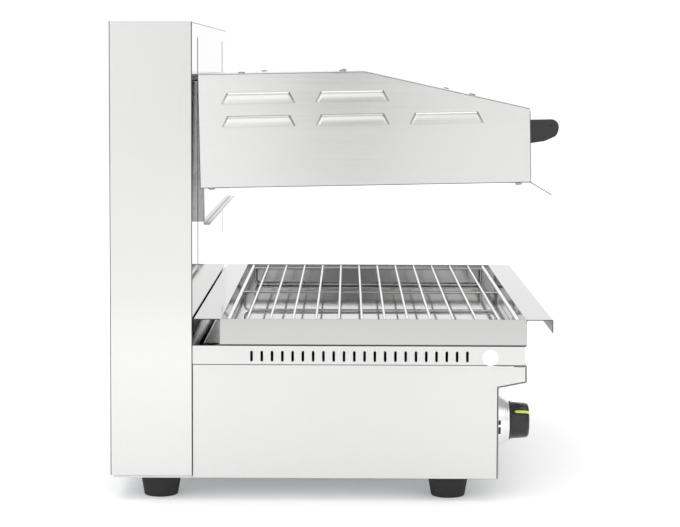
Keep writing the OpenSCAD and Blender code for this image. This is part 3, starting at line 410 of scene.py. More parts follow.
def brushed(name, base, upright=False, rough=(0.16, 0.23), anisotropic=0.85, tone=0.91):
    """Sheet steel with brush marks along the sheet, or up it where it stands upright."""
    metals = settings("metals")
    # Finishes made from the same stainless differ in tone as painted shade.
    base = [c * tone for c in base]
    g = FinishWiring(name, metallic=1.0, Anisotropic=anisotropic)
    fine, slow, streak = 1.0 / metals.brush_width, 5.0, 0.018
    side = (fine, fine, slow) if upright else (slow, slow, fine)
    normal = g.add("ShaderNodeNewGeometry").outputs["True Normal"]
    level = g.math("GREATER_THAN", g.math("ABSOLUTE", g.split(normal)[2]), LEVEL)
    scale = g.choose(level, side, (slow, fine, fine))
    along = g.add("ShaderNodeVectorMath", {0: g.where, 1: scale}, operation="MULTIPLY").outputs[0]
    marks = g.noise(1.0, 3.0, along, 0.65)
    bands = g.noise(0.16, where=along)
    cloud = g.noise(7.0)
    mixed = g.plus(g.times(marks, 0.45), g.times(bands, 0.55))
    grain = g.choose(level, (0.0, 0.0, 1.0) if upright else (0.7, 0.7, 0.0), (1.0, 0.0, 0.0))
    across = g.add("ShaderNodeVectorMath", {0: normal, 1: grain}, operation="CROSS_PRODUCT")
    g.put(g.shader.inputs["Tangent"], across)
    ruffled = g.plus(g.times(mixed, 0.6), g.times(cloud, 0.4))
    return g.finish(g.tint(base, streak, g.spread(mixed, 0, 1, NOISE_BAND)),
                    g.spread(ruffled, *rough, NOISE_BAND), marks, metals.brush_depth)


def polished_sheet(name, base):
    """Bright rolled sheet: nearly a mirror, with faint rolling marks and wipe marks."""
    g = FinishWiring(name, metallic=1.0)
    rolled = g.stretched(4.0, 4.0, 700.0)
    wiped = g.noise(14.0, 3.0)
    return g.finish(g.tint(base, 0.02, wiped), g.spread(wiped, 0.03, 0.08, NOISE_BAND),
                    rolled, 0.000004)


def galvanised_sheet(name, base):
    """Zinc-coated sheet with its crystal flowers."""
    g = FinishWiring(name, metallic=1.0)
    flower = g.add("ShaderNodeTexVoronoi", {"Vector": g.where, "Scale": 75.0, "Randomness": 1.0})
    facet = g.split(flower.outputs["Color"])[0]
    grain = g.noise(900.0)
    return g.finish(g.tint(base, 0.16, facet), g.spread(facet, 0.34, 0.52),
                    g.plus(facet, g.times(grain, 0.3)), 0.00002)


def turned_metal(name, base, rough, ring=1500.0, dark=0.02):
    """Round steel or plating with fine tool or die marks."""
    g = FinishWiring(name, metallic=1.0)
    marks = g.noise(ring)
    cloud = g.noise(60.0)
    return g.finish(g.tint(base, dark, cloud), g.spread(cloud, *rough, NOISE_BAND),
                    marks, 0.000003)


def heated_tube(name, base):
    """Oxidised sheath, patchy brown and blue-grey, with a dry bloom."""
    g = FinishWiring(name, metallic=0.75)
    patch = g.noise(38.0, 4.0)
    speck = g.noise(1400.0)
    brown = (base[0] * 1.25, base[1] * 1.02, base[2] * 0.85)
    blue = (base[0] * 0.62, base[1] * 0.68, base[2] * 0.82)
    return g.finish(g.shade(g.spread(patch, 0, 1, (0.35, 0.65)), blue, brown),
                    g.spread(speck, 0.42, 0.62), speck, 0.00002)


def extruded_bar(name, base):
    """Satin aluminium with die lines along the bar."""
    g = FinishWiring(name, metallic=1.0, Anisotropic=0.4)
    lines = g.stretched(3.0, 1600.0, 1600.0)
    return g.finish(g.tint(base, 0.03, lines), g.spread(lines, 0.22, 0.34), lines, 0.000006)


def moulding(name, base, rough, depth=0.000008, shift=0.12):
    """Moulded plastic with a spark-eroded grain and slight changes of tone."""
    g = FinishWiring(name)
    grain = g.noise(1800.0)
    tone = g.noise(45.0, 3.0)
    return g.finish(g.tint(base, shift, tone), g.spread(tone, *rough, NOISE_BAND), grain, depth)


def cast_rubber(name, base):
    """Black rubber with a dusty bloom and a rough skin."""
    g = FinishWiring(name, Specular_IOR_Level=0.35)
    skin = g.noise(1100.0, 3.0)
    bloom = g.noise(55.0, 4.0)
    grey = [c * 2.2 + 0.012 for c in base]
    return g.finish(g.shade(g.spread(bloom, 0, 1, (0.35, 0.75)), base, grey),
                    g.spread(bloom, 0.5, 0.72), skin, 0.00004)


def fired_ceramic(name, base):
    """Unglazed insulator, speckled and matt."""
    g = FinishWiring(name)
    speck = g.add("ShaderNodeTexVoronoi", {"Vector": g.where, "Scale": 900.0}).outputs["Distance"]
    return g.finish(g.tint(base, 0.06, g.spread(speck, 0, 1, (0.1, 0.5))),
                    g.spread(speck, 0.55, 0.75), speck, 0.00002)


def lamp_glass(name, base):
    """Clear coloured lens with rings moulded inside it."""
    g = FinishWiring(name, Transmission_Weight=0.35, IOR=1.49, Coat_Weight=0.6,
                     Coat_Roughness=0.04)
    rings = g.math("SINE", g.times(g.split(g.where)[2], 5200.0))
    return g.finish(g.tint(base, 0.18, g.spread(rings, 0, 1, (-1, 1))),
                    g.spread(g.noise(80.0), 0.12, 0.2), rings, 0.00003)


def mineral_fibre(name, base):
    """Needled white fibre, with strands over a lumpy ground."""
    g = FinishWiring(name, Sheen_Weight=0.3)
    lumps = g.noise(60.0, 4.0)
    strands = g.add("ShaderNodeTexNoise", {"Vector": g.where, "Scale": 700.0, "Detail": 6.0,
                                           "Roughness": 0.75, "Distortion": 2.5}).outputs[0]
    both = g.plus(g.times(lumps, 0.5), g.times(strands, 0.5))
    return g.finish(g.tint(base, 0.12, g.spread(both, 0, 1, (0.35, 0.65))),
                    g.spread(strands, 0.85, 1.0), both, 0.0008)


def floor_board(name, base):
    """Pale seamless floor, with the faintest unevenness."""
    g = FinishWiring(name, Specular_IOR_Level=0.2, Emission_Color=(1.0, 1.0, 1.0, 1.0),
                     Emission_Strength=settings("studio").glow)
    return g.finish(g.tint(base, 0.004, g.noise(3.0)), g.spread(g.noise(8.0), 0.6, 0.7))


def make_finishes():
    """Every finish by name, with its colour from the settings."""
    m, p = settings("metals"), settings("mouldings")
    return {
        # Tone 0.885 makes the level panels a little darker than the upright ones: painted shade.
        "brushed_level": lambda n: brushed(n, m.stainless, tone=0.885),
        "brushed_upright": lambda n: brushed(n, m.stainless, upright=True),
        "polished": lambda n: polished_sheet(n, m.polished),
        # Tone 0.64 darkens the tray against the other stainless as painted shade; its lower
        # roughness is the tray's own polish.
        "tray_steel": lambda n: brushed(n, m.stainless, rough=(0.05, 0.1), anisotropic=0.6,
                                        tone=0.64),
        # Very dark, rough steel: painted shade on faces that look into shaded gaps.
        "dull_steel": lambda n: brushed(n, m.stainless, rough=(0.25, 0.4), anisotropic=0.4,
                                        tone=0.22),
        # Dark steel on bevels and rims: painted shade for the shadow in seams and gaps and the dark
        # reflection in bends.
        "cut_edge": lambda n: turned_metal(n, [c * 0.2 for c in m.stainless], (0.35, 0.5)),
        "galvanised": lambda n: galvanised_sheet(n, m.galvanised),
        "ground_steel": lambda n: turned_metal(n, m.bright, (0.12, 0.24)),
        # Darkened to 0.55 of the screw colour: painted shade for the dark outlines round the heads.
        "screw_steel": lambda n: turned_metal(n, [c * 0.55 for c in m.screw], (0.18, 0.3),
                                              dark=0.05),
        "chrome": lambda n: turned_metal(n, m.chrome, (0.09, 0.17), ring=2200.0),
        "plated_wire": lambda n: turned_metal(n, m.wire, (0.06, 0.12), ring=2200.0),
        "spring_wire": lambda n: turned_metal(n, m.spring, (0.28, 0.42), dark=0.12),
        "heated_tube": lambda n: heated_tube(n, m.sheath),
        "aluminium": lambda n: extruded_bar(n, m.aluminium),
        "black_moulding": lambda n: moulding(n, [c * 0.6 for c in p.black], (0.2, 0.28)),
        "pointer_moulding": lambda n: moulding(n, p.pointer, (0.3, 0.4), shift=0.05),
        "white_moulding": lambda n: moulding(n, p.white, (0.28, 0.38), shift=0.02),
        "acetal": lambda n: moulding(n, p.acetal, (0.4, 0.52), shift=0.04),
        "nylon": lambda n: moulding(n, p.gland, (0.45, 0.6), depth=0.00002),
        "rubber": lambda n: cast_rubber(n, p.rubber),
        "ceramic": lambda n: fired_ceramic(n, p.ceramic),
        "lamp_glass": lambda n: lamp_glass(n, p.lens),
        "mineral_fibre": lambda n: mineral_fibre(n, p.blanket),
        "printed_black": lambda n: moulding(n, (0.012, 0.012, 0.012), (0.5, 0.6), shift=0.2),
        "floor": lambda n: floor_board(n, settings("studio").floor),
    }


SLOT_FINISH = {
    "stainless": "brushed_level", "polished_stainless": "polished", "galvanised": "galvanised",
    "bright_steel": "ground_steel", "rubber": "rubber", "spring_steel": "spring_wire",
    "white_plastic": "white_moulding", "acetal": "acetal", "ceramic": "ceramic",
    "fastener": "screw_steel", "chrome": "chrome", "lamp_lens": "lamp_glass",
    "gland_plastic": "nylon", "black_plastic": "black_moulding",
    "pointer_green": "pointer_moulding", "chromed_wire": "plated_wire",
    "element_sheath": "heated_tube", "blanket": "mineral_fibre", "aluminium_bar": "aluminium",
}


def finish(name):
    """The material of that name, made when it is first asked for."""
    return bpy.data.materials.get(name) or make_finishes()[name](name)


# ------------------------------------------------------------------ making pieces

def settled(thing):
    """The plain mesh that the object's modifiers make; its faces of painted edge shade keep material
    index 1.
    """
    bpy.context.view_layer.update()
    depsgraph = bpy.context.evaluated_depsgraph_get()
    mesh = bpy.data.meshes.new_from_object(thing.evaluated_get(depsgraph), depsgraph=depsgraph)
    bpy.data.objects.remove(thing)
    ground = [i for i, material in enumerate(mesh.materials) if material == finish("cut_edge")]
    kept = [int(polygon.material_index in ground) for polygon in mesh.polygons]
    mesh.materials.clear()
    mesh.polygons.foreach_set("material_index", kept)
    return mesh


def as_object(name, mesh):
    """A linked object at the origin that holds the mesh."""
    thing = bpy.data.objects.new(name, mesh)
    bpy.context.scene.collection.objects.link(thing)
    return thing


def weight_normals(thing):
    """Lets the wide flat faces set the shading along their folds and bevels."""
    modifier = thing.modifiers.new("Normals", "WEIGHTED_NORMAL")
    modifier.keep_sharp = True


def break_edges(thing, width, segments=2, angle=35.0, ground=False, limit="ANGLE"):
    """Takes the sharpness off the edges that turn by more than the angle; if asked, their bevels
    take a dark steel as painted shade.
    """
    if width:
        modifier = thing.modifiers.new("Edges", "BEVEL")
        modifier.width = width
        modifier.segments = segments
        modifier.limit_method = limit
        modifier.angle_limit = math.radians(angle)
        modifier.use_clamp_overlap = False
        if ground:
            thing.data.materials.append(finish("brushed_level"))
            thing.data.materials.append(finish("cut_edge"))
            modifier.material = 1
    weight_normals(thing)


def weigh_edges(mesh, reach, broad):
    """Gives each long sharp edge its share of the bevel's width.

    The outer face lies at the reach, on either side. An edge of it gets nearly the whole width
    where broad says so of its two ends, and any other edge gets only a little.
    """
    bm = bmesh.new()
    bm.from_mesh(mesh)
    share = bm.edges.layers.float.new("bevel_weight_edge")
    for edge in bm.edges:
        if not (edge.is_manifold and edge.calc_face_angle() > SHARP_TURN
                and edge.calc_length() > SHORT_EDGE):
            continue
        a, b = (vert.co for vert in edge.verts)
        outer = min(abs(a.x), abs(b.x)) > reach - TOUCH
        kind = ("broad" if broad(a, b) else "narrow") if outer else "inner"
        edge[share] = EDGE_SHARES[kind]
    bm.to_mesh(mesh)
    bm.free()
    return mesh


def edge_shaded_sheet(mesh, thickness, reach, broad):
    """The mesh of a sheet after its weighted edges are bevelled by nearly its thickness, the bevels
    dark with painted shade.
    """
    thing = as_object("sheet", weigh_edges(mesh, reach, broad))
    break_edges(thing, thickness * 0.9, ground=True, limit="WEIGHT")
    return settled(thing)


def thicken(thing, thickness, offset=-1.0, even=False):
    """Gives a sheet its thickness, behind its face unless the offset says otherwise."""
    solid = thing.modifiers.new("Thickness", "SOLIDIFY")
    solid.thickness = thickness
    solid.offset = offset
    solid.use_even_offset = even
    return solid


def soften(thing):
    """Rounds the whole shape by one step of subdivision."""
    soft = thing.modifiers.new("Soft", "SUBSURF")
    soft.levels = soft.render_levels = 1


def cleaned(mesh, merge=1e-6):
    """Merges doubles, turns every closed shell outwards and shades it smooth."""
    bm = bmesh.new()
    bm.from_mesh(mesh)
    bmesh.ops.remove_doubles(bm, verts=bm.verts, dist=merge)
    bmesh.ops.recalc_face_normals(bm, faces=bm.faces)
    for face in bm.faces:
        face.smooth = True
    bm.to_mesh(mesh)
    bm.free()
    return mesh


def sharpened(mesh, angle):
    """Marks the edges that turn by more than the angle."""
    mesh.set_sharp_from_angle(angle=math.radians(angle))
    return mesh


def mesh_of(bm, name):
    """A new mesh that holds what was built, which is then freed."""
    mesh = bpy.data.meshes.new(name)
    bm.to_mesh(mesh)
    bm.free()
    return mesh


def place(mesh, name, node, look=None):
    """A finished piece with its own name, and with its CAD node's body and the finish of its slot.
    """
    thing = as_object(name, mesh)
    ground = [polygon.material_index for polygon in mesh.polygons]
    mesh.materials.clear()
    mesh.materials.append(finish(look or SLOT_FINISH[SLOT_OF[node]]))
    if any(ground):
        mesh.materials.append(finish("cut_edge"))
        mesh.polygons.foreach_set("material_index", ground)
    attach(thing, BODY_OF[node])
    return thing


def stand_for(mesh, node, look=None):
    """A finished piece that takes the place of the CAD node."""
    thing = place(mesh, node + "_finished", node, look)
    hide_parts(node)
    return thing


def cad_copy(node):
    """A copy of a CAD node with its loose triangles merged into whole faces."""
    mesh = frame["nodes"][node].data.copy()
    mesh.materials.clear()
    flat = math.radians(0.6)
    bm = bmesh.new()
    bm.from_mesh(mesh)
    bmesh.ops.remove_doubles(bm, verts=bm.verts, dist=SAME_SPOT)
    bmesh.ops.dissolve_limit(bm, angle_limit=flat, verts=bm.verts, edges=bm.edges)
    for face in bm.faces:
        face.smooth = True
    bm.to_mesh(mesh)
    bm.free()
    return mesh


def dressed(node, look=None, edge=None, angle=35.0):
    """The CAD node's own shape with broken edges and its finish."""
    thing = as_object(node + "_finished", cad_copy(node))
    width = settings("sheets").edge if edge is None else edge
    ground = SLOT_OF[node] in ("stainless", "polished_stainless")
    break_edges(thing, width, angle=angle, ground=ground)
    if not width:
        sharpened(thing.data, angle)
    return stand_for(settled(thing), node, look)


def paint_shade_on_faces(thing, rule):
    """Gives the faces that the rule picks by their middle and their normal a dark, rough steel:
    painted shade.
    """
    thing.data.materials.append(finish("dull_steel"))
    last = len(thing.data.materials) - 1
    for face in thing.data.polygons:
        if face.material_index == 0 and rule(face.center, face.normal):
            face.material_index = last


def path_mesh(points, x):
    """A line of edges through [y, z] points at one x."""
    mesh = bpy.data.meshes.new("path")
    mesh.from_pydata([(x, y, z) for y, z in points],
                     [(i, i + 1) for i in range(len(points) - 1)], [])
    return mesh


def folded_sheet_shape():
    """A sheet swept along X from a path, each of its corners bent to a radius."""
    g = ShapeWiring("folded_sheet", True, bend_radius=0.001, width=1.0)
    curve = g.add("GeometryNodeMeshToCurve", {0: g.source.outputs[0]})
    bent = g.add("GeometryNodeFilletCurve", {"Curve": curve, "Radius": g.given("bend_radius"),
                                             "Count": 5, "Limit Radius": True}, mode="POLY")
    line = g.add("GeometryNodeCurveToMesh", {"Curve": bent})
    sheet = g.add("GeometryNodeExtrudeMesh", {"Mesh": line, "Offset": g.combine(x=g.given("width")),
                                              "Offset Scale": 1.0}, mode="EDGES")
    return g.close(sheet.outputs[0])


def swept(points, x0, x1, bend):
    """An open sheet from x0 to x1 along [y, z] points, its corners bent to the radius."""
    thing = shaped(FOLD["tree"], finish("brushed_level"), path_mesh(points, x0),
                   bend_radius=bend, width=x1 - x0)
    return cleaned(settled(thing), 1e-7)


def folded(node, points, x, thickness, bend, inside, ground=True):
    """A folded sheet from -x to x whose outer face follows the path round the inside point."""
    mesh = swept(points, -x, x, bend)
    aim_faces(mesh, inside)
    thing = as_object("sheet", mesh)
    thicken(thing, thickness, even=True)
    break_edges(thing, settings("sheets").edge, 1, 50.0, ground)
    return stand_for(settled(thing), node)


def aim_faces(mesh, inside):
    """Turns an open sheet so that its faces point away from the inside point, [y, z]."""
    first = max(mesh.polygons, key=lambda p: p.area)
    away = first.center - Vector((first.center.x, *inside))
    if first.normal.dot(away) < 0:
        mesh.flip_normals()


# The tree that every folded sheet shares, once main has made it.
FOLD = {}


def prism(outline, x0, x1, to_world):
    """A closed solid between x0 and x1 over an outline, its points mapped by to_world."""
    bm = bmesh.new()
    rings = [[bm.verts.new(to_world(x, *point)) for point in outline] for x in (x0, x1)]
    for ring in rings:
        bm.faces.new(ring)
    total = len(outline)
    for i in range(total):
        k = (i + 1) % total
        bm.faces.new((rings[0][i], rings[0][k], rings[1][k], rings[1][i]))
    return cleaned(mesh_of(bm, "prism"))


def joined(meshes):
    """One mesh that holds them all."""
    bm = bmesh.new()
    for mesh in meshes:
        bm.from_mesh(mesh)
    return mesh_of(bm, "joined")


def ring_of(bm, matrix, radius, height, segments):
    """A ring of vertices about Z, moved by the matrix; on the axis they are all one vertex."""
    if radius < 1e-7:
        return [bm.verts.new(matrix @ Vector((0, 0, height)))] * segments
    ring = []
    for i in range(segments):
        turn = 2 * math.pi * i / segments
        spot = Vector((radius * math.cos(turn), radius * math.sin(turn), height))
        ring.append(bm.verts.new(matrix @ spot))
    return ring


def turned(profile, matrix, segments, hollow=False):
    """A solid turned about Z from [radius, height] points, then moved by the matrix. A hollow
    one is a ring, whose last point is joined to its first."""
    bm = bmesh.new()
    rings = [ring_of(bm, matrix, *point, segments) for point in profile]
    following = rings[1:] + rings[:1] if hollow else rings[1:]
    for low, high in zip(rings, following):
        for i in range(segments):
            k = (i + 1) % segments
            corners = list(dict.fromkeys((low[i], low[k], high[k], high[i])))
            if len(corners) > 2:
                bm.faces.new(corners)
    for ring in () if hollow else (rings[0], rings[-1]):
        if ring[0] is not ring[1]:
            bm.faces.new(ring)
    return sharpened(cleaned(mesh_of(bm, "turned")), 32.0)


def arc(center, radius, start, end, steps):
    """Points of a rounded corner, its angles in degrees from straight out."""
    made = []
    for i in range(steps + 1):
        a = math.radians(start + (end - start) * i / steps)
        made.append((center[0] + radius * math.cos(a), center[1] + radius * math.sin(a)))
    return made


# ------------------------------------------------------------------ places on the machine

def hood_rear_corner():
    """The hood's lower rear corner and its tilt, from the corners of its rear panel."""
    panel = frame["nodes"]["hood_rear_panel"].data
    corners = {(round(v.co.y, 7), round(v.co.z, 7)) for v in panel.vertices}
    low = sorted(corners, key=lambda c: c[1])
    corner, above = low[0], low[2]
    tilt = math.atan2(above[0] - corner[0], above[1] - corner[1])
    return corner, tilt


HOOD_CORNER, HOOD_TILT = hood_rear_corner()


def hood_place(spot):
    """How far a point lies forward and up along the tilted hood."""
    back, rise = spot.y - HOOD_CORNER[0], spot.z - HOOD_CORNER[1]
    return (rise * math.sin(HOOD_TILT) - back * math.cos(HOOD_TILT),
            back * math.sin(HOOD_TILT) + rise * math.cos(HOOD_TILT))


def on_hood(forward, up):
    """[y, z] of the place that lies so far along and up the tilted hood."""
    y = HOOD_CORNER[0] - forward * math.cos(HOOD_TILT) + up * math.sin(HOOD_TILT)
    z = HOOD_CORNER[1] + forward * math.sin(HOOD_TILT) + up * math.cos(HOOD_TILT)
    return y, z


def extent(points):
    """The lowest and the highest corner of the box round the points."""
    return Vector(map(min, zip(*points))), Vector(map(max, zip(*points)))


def islands(node):
    """The vertices of each separate solid of a CAD node."""
    bm = bmesh.new()
    bm.from_mesh(frame["nodes"][node].data)
    bmesh.ops.remove_doubles(bm, verts=bm.verts, dist=SAME_SPOT)
    bm.verts.index_update()
    left = set(bm.verts)
    found = []
    while left:
        group, fringe = set(), [left.pop()]
        while fringe:
            vert = fringe.pop()
            group.add(vert)
            for link in vert.link_edges:
                other = link.other_vert(vert)
                if other in left:
                    left.discard(other)
                    fringe.append(other)
        found.append([v.co.copy() for v in sorted(group, key=lambda v: v.index)])
    bm.free()
    return sorted(found, key=lambda g: tuple(round(c, 6) for c in sum(g, Vector()) / len(g)))


def screw_place(points):
    """Where a screw's head stands and which way it faces: its long axis, towards the head."""
    middle = sum(points, Vector()) / len(points)
    spread = Matrix(((0.0,) * 3,) * 3)
    for p in points:
        d = p - middle
        spread += Matrix([[a * b for b in d] for a in d])
    axis = Vector((0.31, 0.52, 0.79))  # square to none of the screws
    for _ in range(60):
        axis = (spread @ axis).normalized()
    along = [(p - middle).dot(axis) for p in points]
    out = [((p - middle) - axis * t).length for p, t in zip(points, along)]
    if along[out.index(max(out))] < 0:
        axis.negate()
        along = [-t for t in along]
    top = middle + axis * max(along)
    return top - axis * settings("screws").head_height, axis


# ------------------------------------------------------------------ the pieces and their operators

def make_column_side(node):
    """A side of the column, whose front and rear bends are rounder than its other edges; its bevels
    are dark with painted shade.
    """
    low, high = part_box(node)
    sheet = edge_shaded_sheet(
        cad_copy(node), settings("sheets").body_sheet, max(-low.x, high.x),
        lambda a, b: min(a.y, b.y) > high.y - TOUCH or max(a.y, b.y) < low.y + TOUCH)
    stand_for(sheet, node, "brushed_upright")


class GRILL_OT_column(bpy.types.Operator):
    """Make the column's side, front, back and top panels"""
    bl_idname = "grill.column"
    bl_label = "Column Panels"

    def execute(self, context):
        for node in ("column_side_left", "column_side_right"):
            make_column_side(node)
        dressed("column_back_panel", "brushed_upright", 0.0005)
        dressed("column_top_cover", edge=0.0004)
        dressed("column_front_panel", edge=0.0003)
        return {"FINISHED"}


class GRILL_OT_base(bpy.types.Operator):
    """Make the base's sides, vented band, deck, floor and nosed front panel"""
    bl_idname = "grill.base"
    bl_label = "Base Panels"

    def execute(self, context):
        for node in ("base_side_left", "base_side_right", "deck_plate", "chassis_floor"):
            dressed(node)
        dressed("vent_frame", edge=0.0)
        low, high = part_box("front_panel")
        sheets = settings("sheets")
        face = JOINT["knob_left_turn"]["pos_m"][1]
        nose_height, nose_slope = 0.0193, 0.006
        nose_low = high.z - nose_height
        points = [(high.y, high.z), (low.y, high.z), (low.y, nose_low),
                  (face, nose_low - nose_slope), (face, low.z)]
        folded("front_panel", points, high.x, sheets.body_sheet, sheets.bend,
               (high.y + 0.1, low.z + 0.05))
        return {"FINISHED"}


class GRILL_OT_hood_shell(bpy.types.Operator):
    """Make the hood's cover, front, back, bottom frame, visor and lift plate"""
    bl_idname = "grill.hood_shell"
    bl_label = "Hood Shell"

    def execute(self, context):
        hood, sheets = settings("hood"), settings("sheets")
        inside = on_hood(hood.length / 2, hood.front_height / 2)
        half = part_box("hood_top_cover")[1].x
        lip = hood.corner + 0.0003
        cover = [on_hood(0, hood.rear_height), on_hood(hood.flat, hood.rear_height),
                 on_hood(hood.length, hood.front_height),
                 on_hood(hood.length, hood.front_height - lip)]
        folded("hood_top_cover", cover, half, sheets.thin_sheet, hood.corner, inside, ground=False)
        front = [on_hood(hood.length, 0), on_hood(hood.length, hood.front_height - lip - SEAM)]
        folded("hood_front_panel", front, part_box("hood_front_panel")[1].x, sheets.thin_sheet,
               sheets.bend, inside)
        for node in ("hood_rear_panel", "hood_bottom_frame", "visor"):
            dressed(node)
        # The lift plate's rear-facing faces get painted shade.
        paint_shade_on_faces(dressed("lift_plate", "tray_steel"), lambda spot, way: way.y > LEVEL)
        return {"FINISHED"}


class GRILL_OT_hood_sides(bpy.types.Operator):
    """Make the hood's sides with their pressed louvres"""
    bl_idname = "grill.hood_sides"
    bl_label = "Hood Sides"

    def execute(self, context):
        shape = louvre_shape()
        for node, side in (("hood_side_left", -1), ("hood_side_right", 1)):
            make_hood_side(node, side)
            make_louvres(node, side, shape)
        return {"FINISHED"}


def louvre_spots():
    """[forward, up] of the middle of each louvre."""
    hood = settings("hood")
    return [(hood.louvre_first + i * hood.louvre_pitch, hood.louvre_low + row * hood.louvre_rise)
            for row, number in ((0, 3), (1, 2)) for i in range(number)]


def hood_side_outline():
    """Outline of the side sheet under the cover, with its upper front corner rounded."""
    hood, t = settings("hood"), settings("sheets").thin_sheet
    slope = math.atan2(hood.rear_height - hood.front_height, hood.length - hood.flat)
    front = hood.front_height - t / math.cos(slope)
    ridge = (hood.flat - t * math.tan(slope / 2), hood.rear_height - t)
    r = hood.corner
    back = r * math.tan((math.pi / 2 - slope) / 2)
    center = (hood.length - r, front - back)
    corner = arc(center, r, 0.0, 90.0 - math.degrees(slope), 6)
    return [(0, 0), (hood.length, 0), *corner, ridge, (0, hood.rear_height - t)]


def on_hood_edge(a, b):
    """True if both points lie on the hood's lower, front or rear edge."""
    (f0, up0), (f1, up1) = hood_place(a), hood_place(b)
    length = settings("hood").length
    return max(up0, up1) < TOUCH or min(f0, f1) > length - TOUCH or max(f0, f1) < TOUCH


def side_sheet(side, half):
    """The face of one of the hood's sides, open where the louvres go."""
    hood = settings("hood")
    overlap = 0.0006
    low = hood.louvre_length / 2 - overlap
    high = (hood.louvre_length - hood.louvre_taper) / 2 - overlap
    up = hood.louvre_height / 2
    loops = [hood_side_outline()]
    for f, z in louvre_spots():
        loops.append([(f - low, z - up), (f + low, z - up), (f + high, z + up - overlap),
                      (f - high, z + up - overlap)])
    bm = bmesh.new()
    edges = []
    for loop in loops:
        verts = [bm.verts.new((side * half, *on_hood(*p))) for p in loop]
        edges += [bm.edges.new((a, b)) for a, b in zip(verts, verts[1:] + verts[:1])]
    bmesh.ops.triangle_fill(bm, use_beauty=True, use_dissolve=False, edges=edges,
                            normal=(side, 0, 0))
    bmesh.ops.recalc_face_normals(bm, faces=bm.faces)
    mesh = mesh_of(bm, "side")
    if mesh.polygons[0].normal.x * side < 0:
        mesh.flip_normals()
    return mesh


def strip(start, end, top, thickness, drop=0.0):
    """[forward, up] outline of a strip of sheet whose front end lies lower by the drop."""
    return [(start, top - thickness), (end, top - thickness - drop), (end, top - drop),
            (start, top)]


def side_returns(side, half):
    """The three strips that are folded inwards along the bottom and the top of a side."""
    hood, t = settings("hood"), settings("sheets").thin_sheet
    width = 0.014
    inner = [side * (half - t), side * (half - t - width)]
    rear, front = t + SEAM, hood.length - t - SEAM
    ridge, nose = hood.flat - 0.001, hood.length - 0.003
    top = hood.rear_height - t
    slope = (hood.rear_height - hood.front_height) / (hood.length - hood.flat)
    drop = slope * (hood.length - hood.flat - 0.003)
    outlines = (strip(rear, front, t, t), strip(rear, ridge, top, t),
                strip(ridge, nose, top, t, drop))
    return [prism(o, *inner, lambda x, f, z: (x, *on_hood(f, z))) for o in outlines]


def make_hood_side(node, side):
    """The flat sheet with its louvre openings, and the returns folded behind it."""
    t = settings("sheets").thin_sheet
    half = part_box("hood_top_cover")[1].x
    thing = as_object("side", side_sheet(side, half))
    thicken(thing, t)
    sheet = edge_shaded_sheet(settled(thing), t, half, on_hood_edge)
    stand_for(joined([sheet, *side_returns(side, half)]), node)


def louvre_shape():
    """A pressed louvre: full along its open lower edge, and falling to the sheet elsewhere."""
    g = ShapeWiring("louvres", True, length=0.08, height=0.012, depth=0.004, taper=0.012,
                    end=0.006, side=-1.0)
    grid = g.add("GeometryNodeMeshGrid", {"Size X": 1.0, "Size Y": 1.0, "Vertices X": 61,
                                          "Vertices Y": 15})
    place_x, place_y = g.split(g.add("GeometryNodeInputPosition"))[:2]
    a = g.times(place_x, 2.0)
    turn = g.times(g.plus(place_y, 0.5), math.pi / 2)
    up = g.math("SINE", turn)
    half = g.minus(g.times(g.given("length"), 0.5), g.times(g.times(g.given("taper"), 0.5), up))
    shy = g.minus(1.0, g.math("ABSOLUTE", a))
    rise = g.math("DIVIDE", g.times(shy, half), g.given("end"), clamp=True)
    fall = g.minus(1.0, rise)
    swell = g.math("SQRT", g.minus(1.0, g.times(fall, fall)))
    out = g.times(g.times(g.given("depth"), g.math("COSINE", turn)), swell)
    level = g.times(g.given("height"), g.minus(up, 0.5))
    spot = g.combine(g.times(out, g.given("side")), g.times(a, half), level)
    form = g.add("GeometryNodeSetPosition", {"Geometry": grid, "Position": spot})
    return g.close(g.instance(g.source.outputs[0], form))


def make_louvres(node, side, shape):
    """One side's louvres, as closed shells set in the openings of the sheet."""
    hood, t = settings("hood"), settings("sheets").thin_sheet
    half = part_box("hood_top_cover")[1].x
    points = bpy.data.meshes.new("spots")
    points.from_pydata([(side * half, -f, z) for f, z in louvre_spots()], [], [])
    thing = shaped(shape, finish("brushed_level"), points, length=hood.louvre_length,
                   height=hood.louvre_height, depth=hood.louvre_depth,
                   taper=hood.louvre_taper, end=hood.louvre_end, side=float(side))
    mesh = settled(thing)
    tilt = Matrix.Rotation(-HOOD_TILT, 4, "X")
    mesh.transform(Matrix.Translation((0, *HOOD_CORNER)) @ tilt)
    outward = max(mesh.polygons, key=lambda p: p.area)
    if outward.normal.x * side < 0:
        mesh.flip_normals()
    thing = as_object("louvres", mesh)
    thicken(thing, t * 0.9)
    hand = node.rsplit("_", 1)[1]
    place(sharpened(settled(thing), 50.0), "hood_louvres_" + hand, node)


class GRILL_OT_tray(bpy.types.Operator):
    """Make the drip tray with its folded flanges"""
    bl_idname = "grill.tray"
    bl_label = "Drip Tray"

    def execute(self, context):
        t, flange = settings("sheets").thin_sheet, 0.029
        low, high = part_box("drip_tray")
        back, front = high.y - flange, low.y + flange
        pieces = [tray_pan(low, high, back, front), *tray_sides(low, high, back, front)]
        tray = stand_for(joined(pieces), "drip_tray", "tray_steel")
        # The inner faces of the lips at the front and back get painted shade.
        paint_shade_on_faces(tray, lambda spot, way: (spot.y < front - t and way.y > 0.5
                                            or spot.y > back + t and way.y < -0.5))
        return {"FINISHED"}


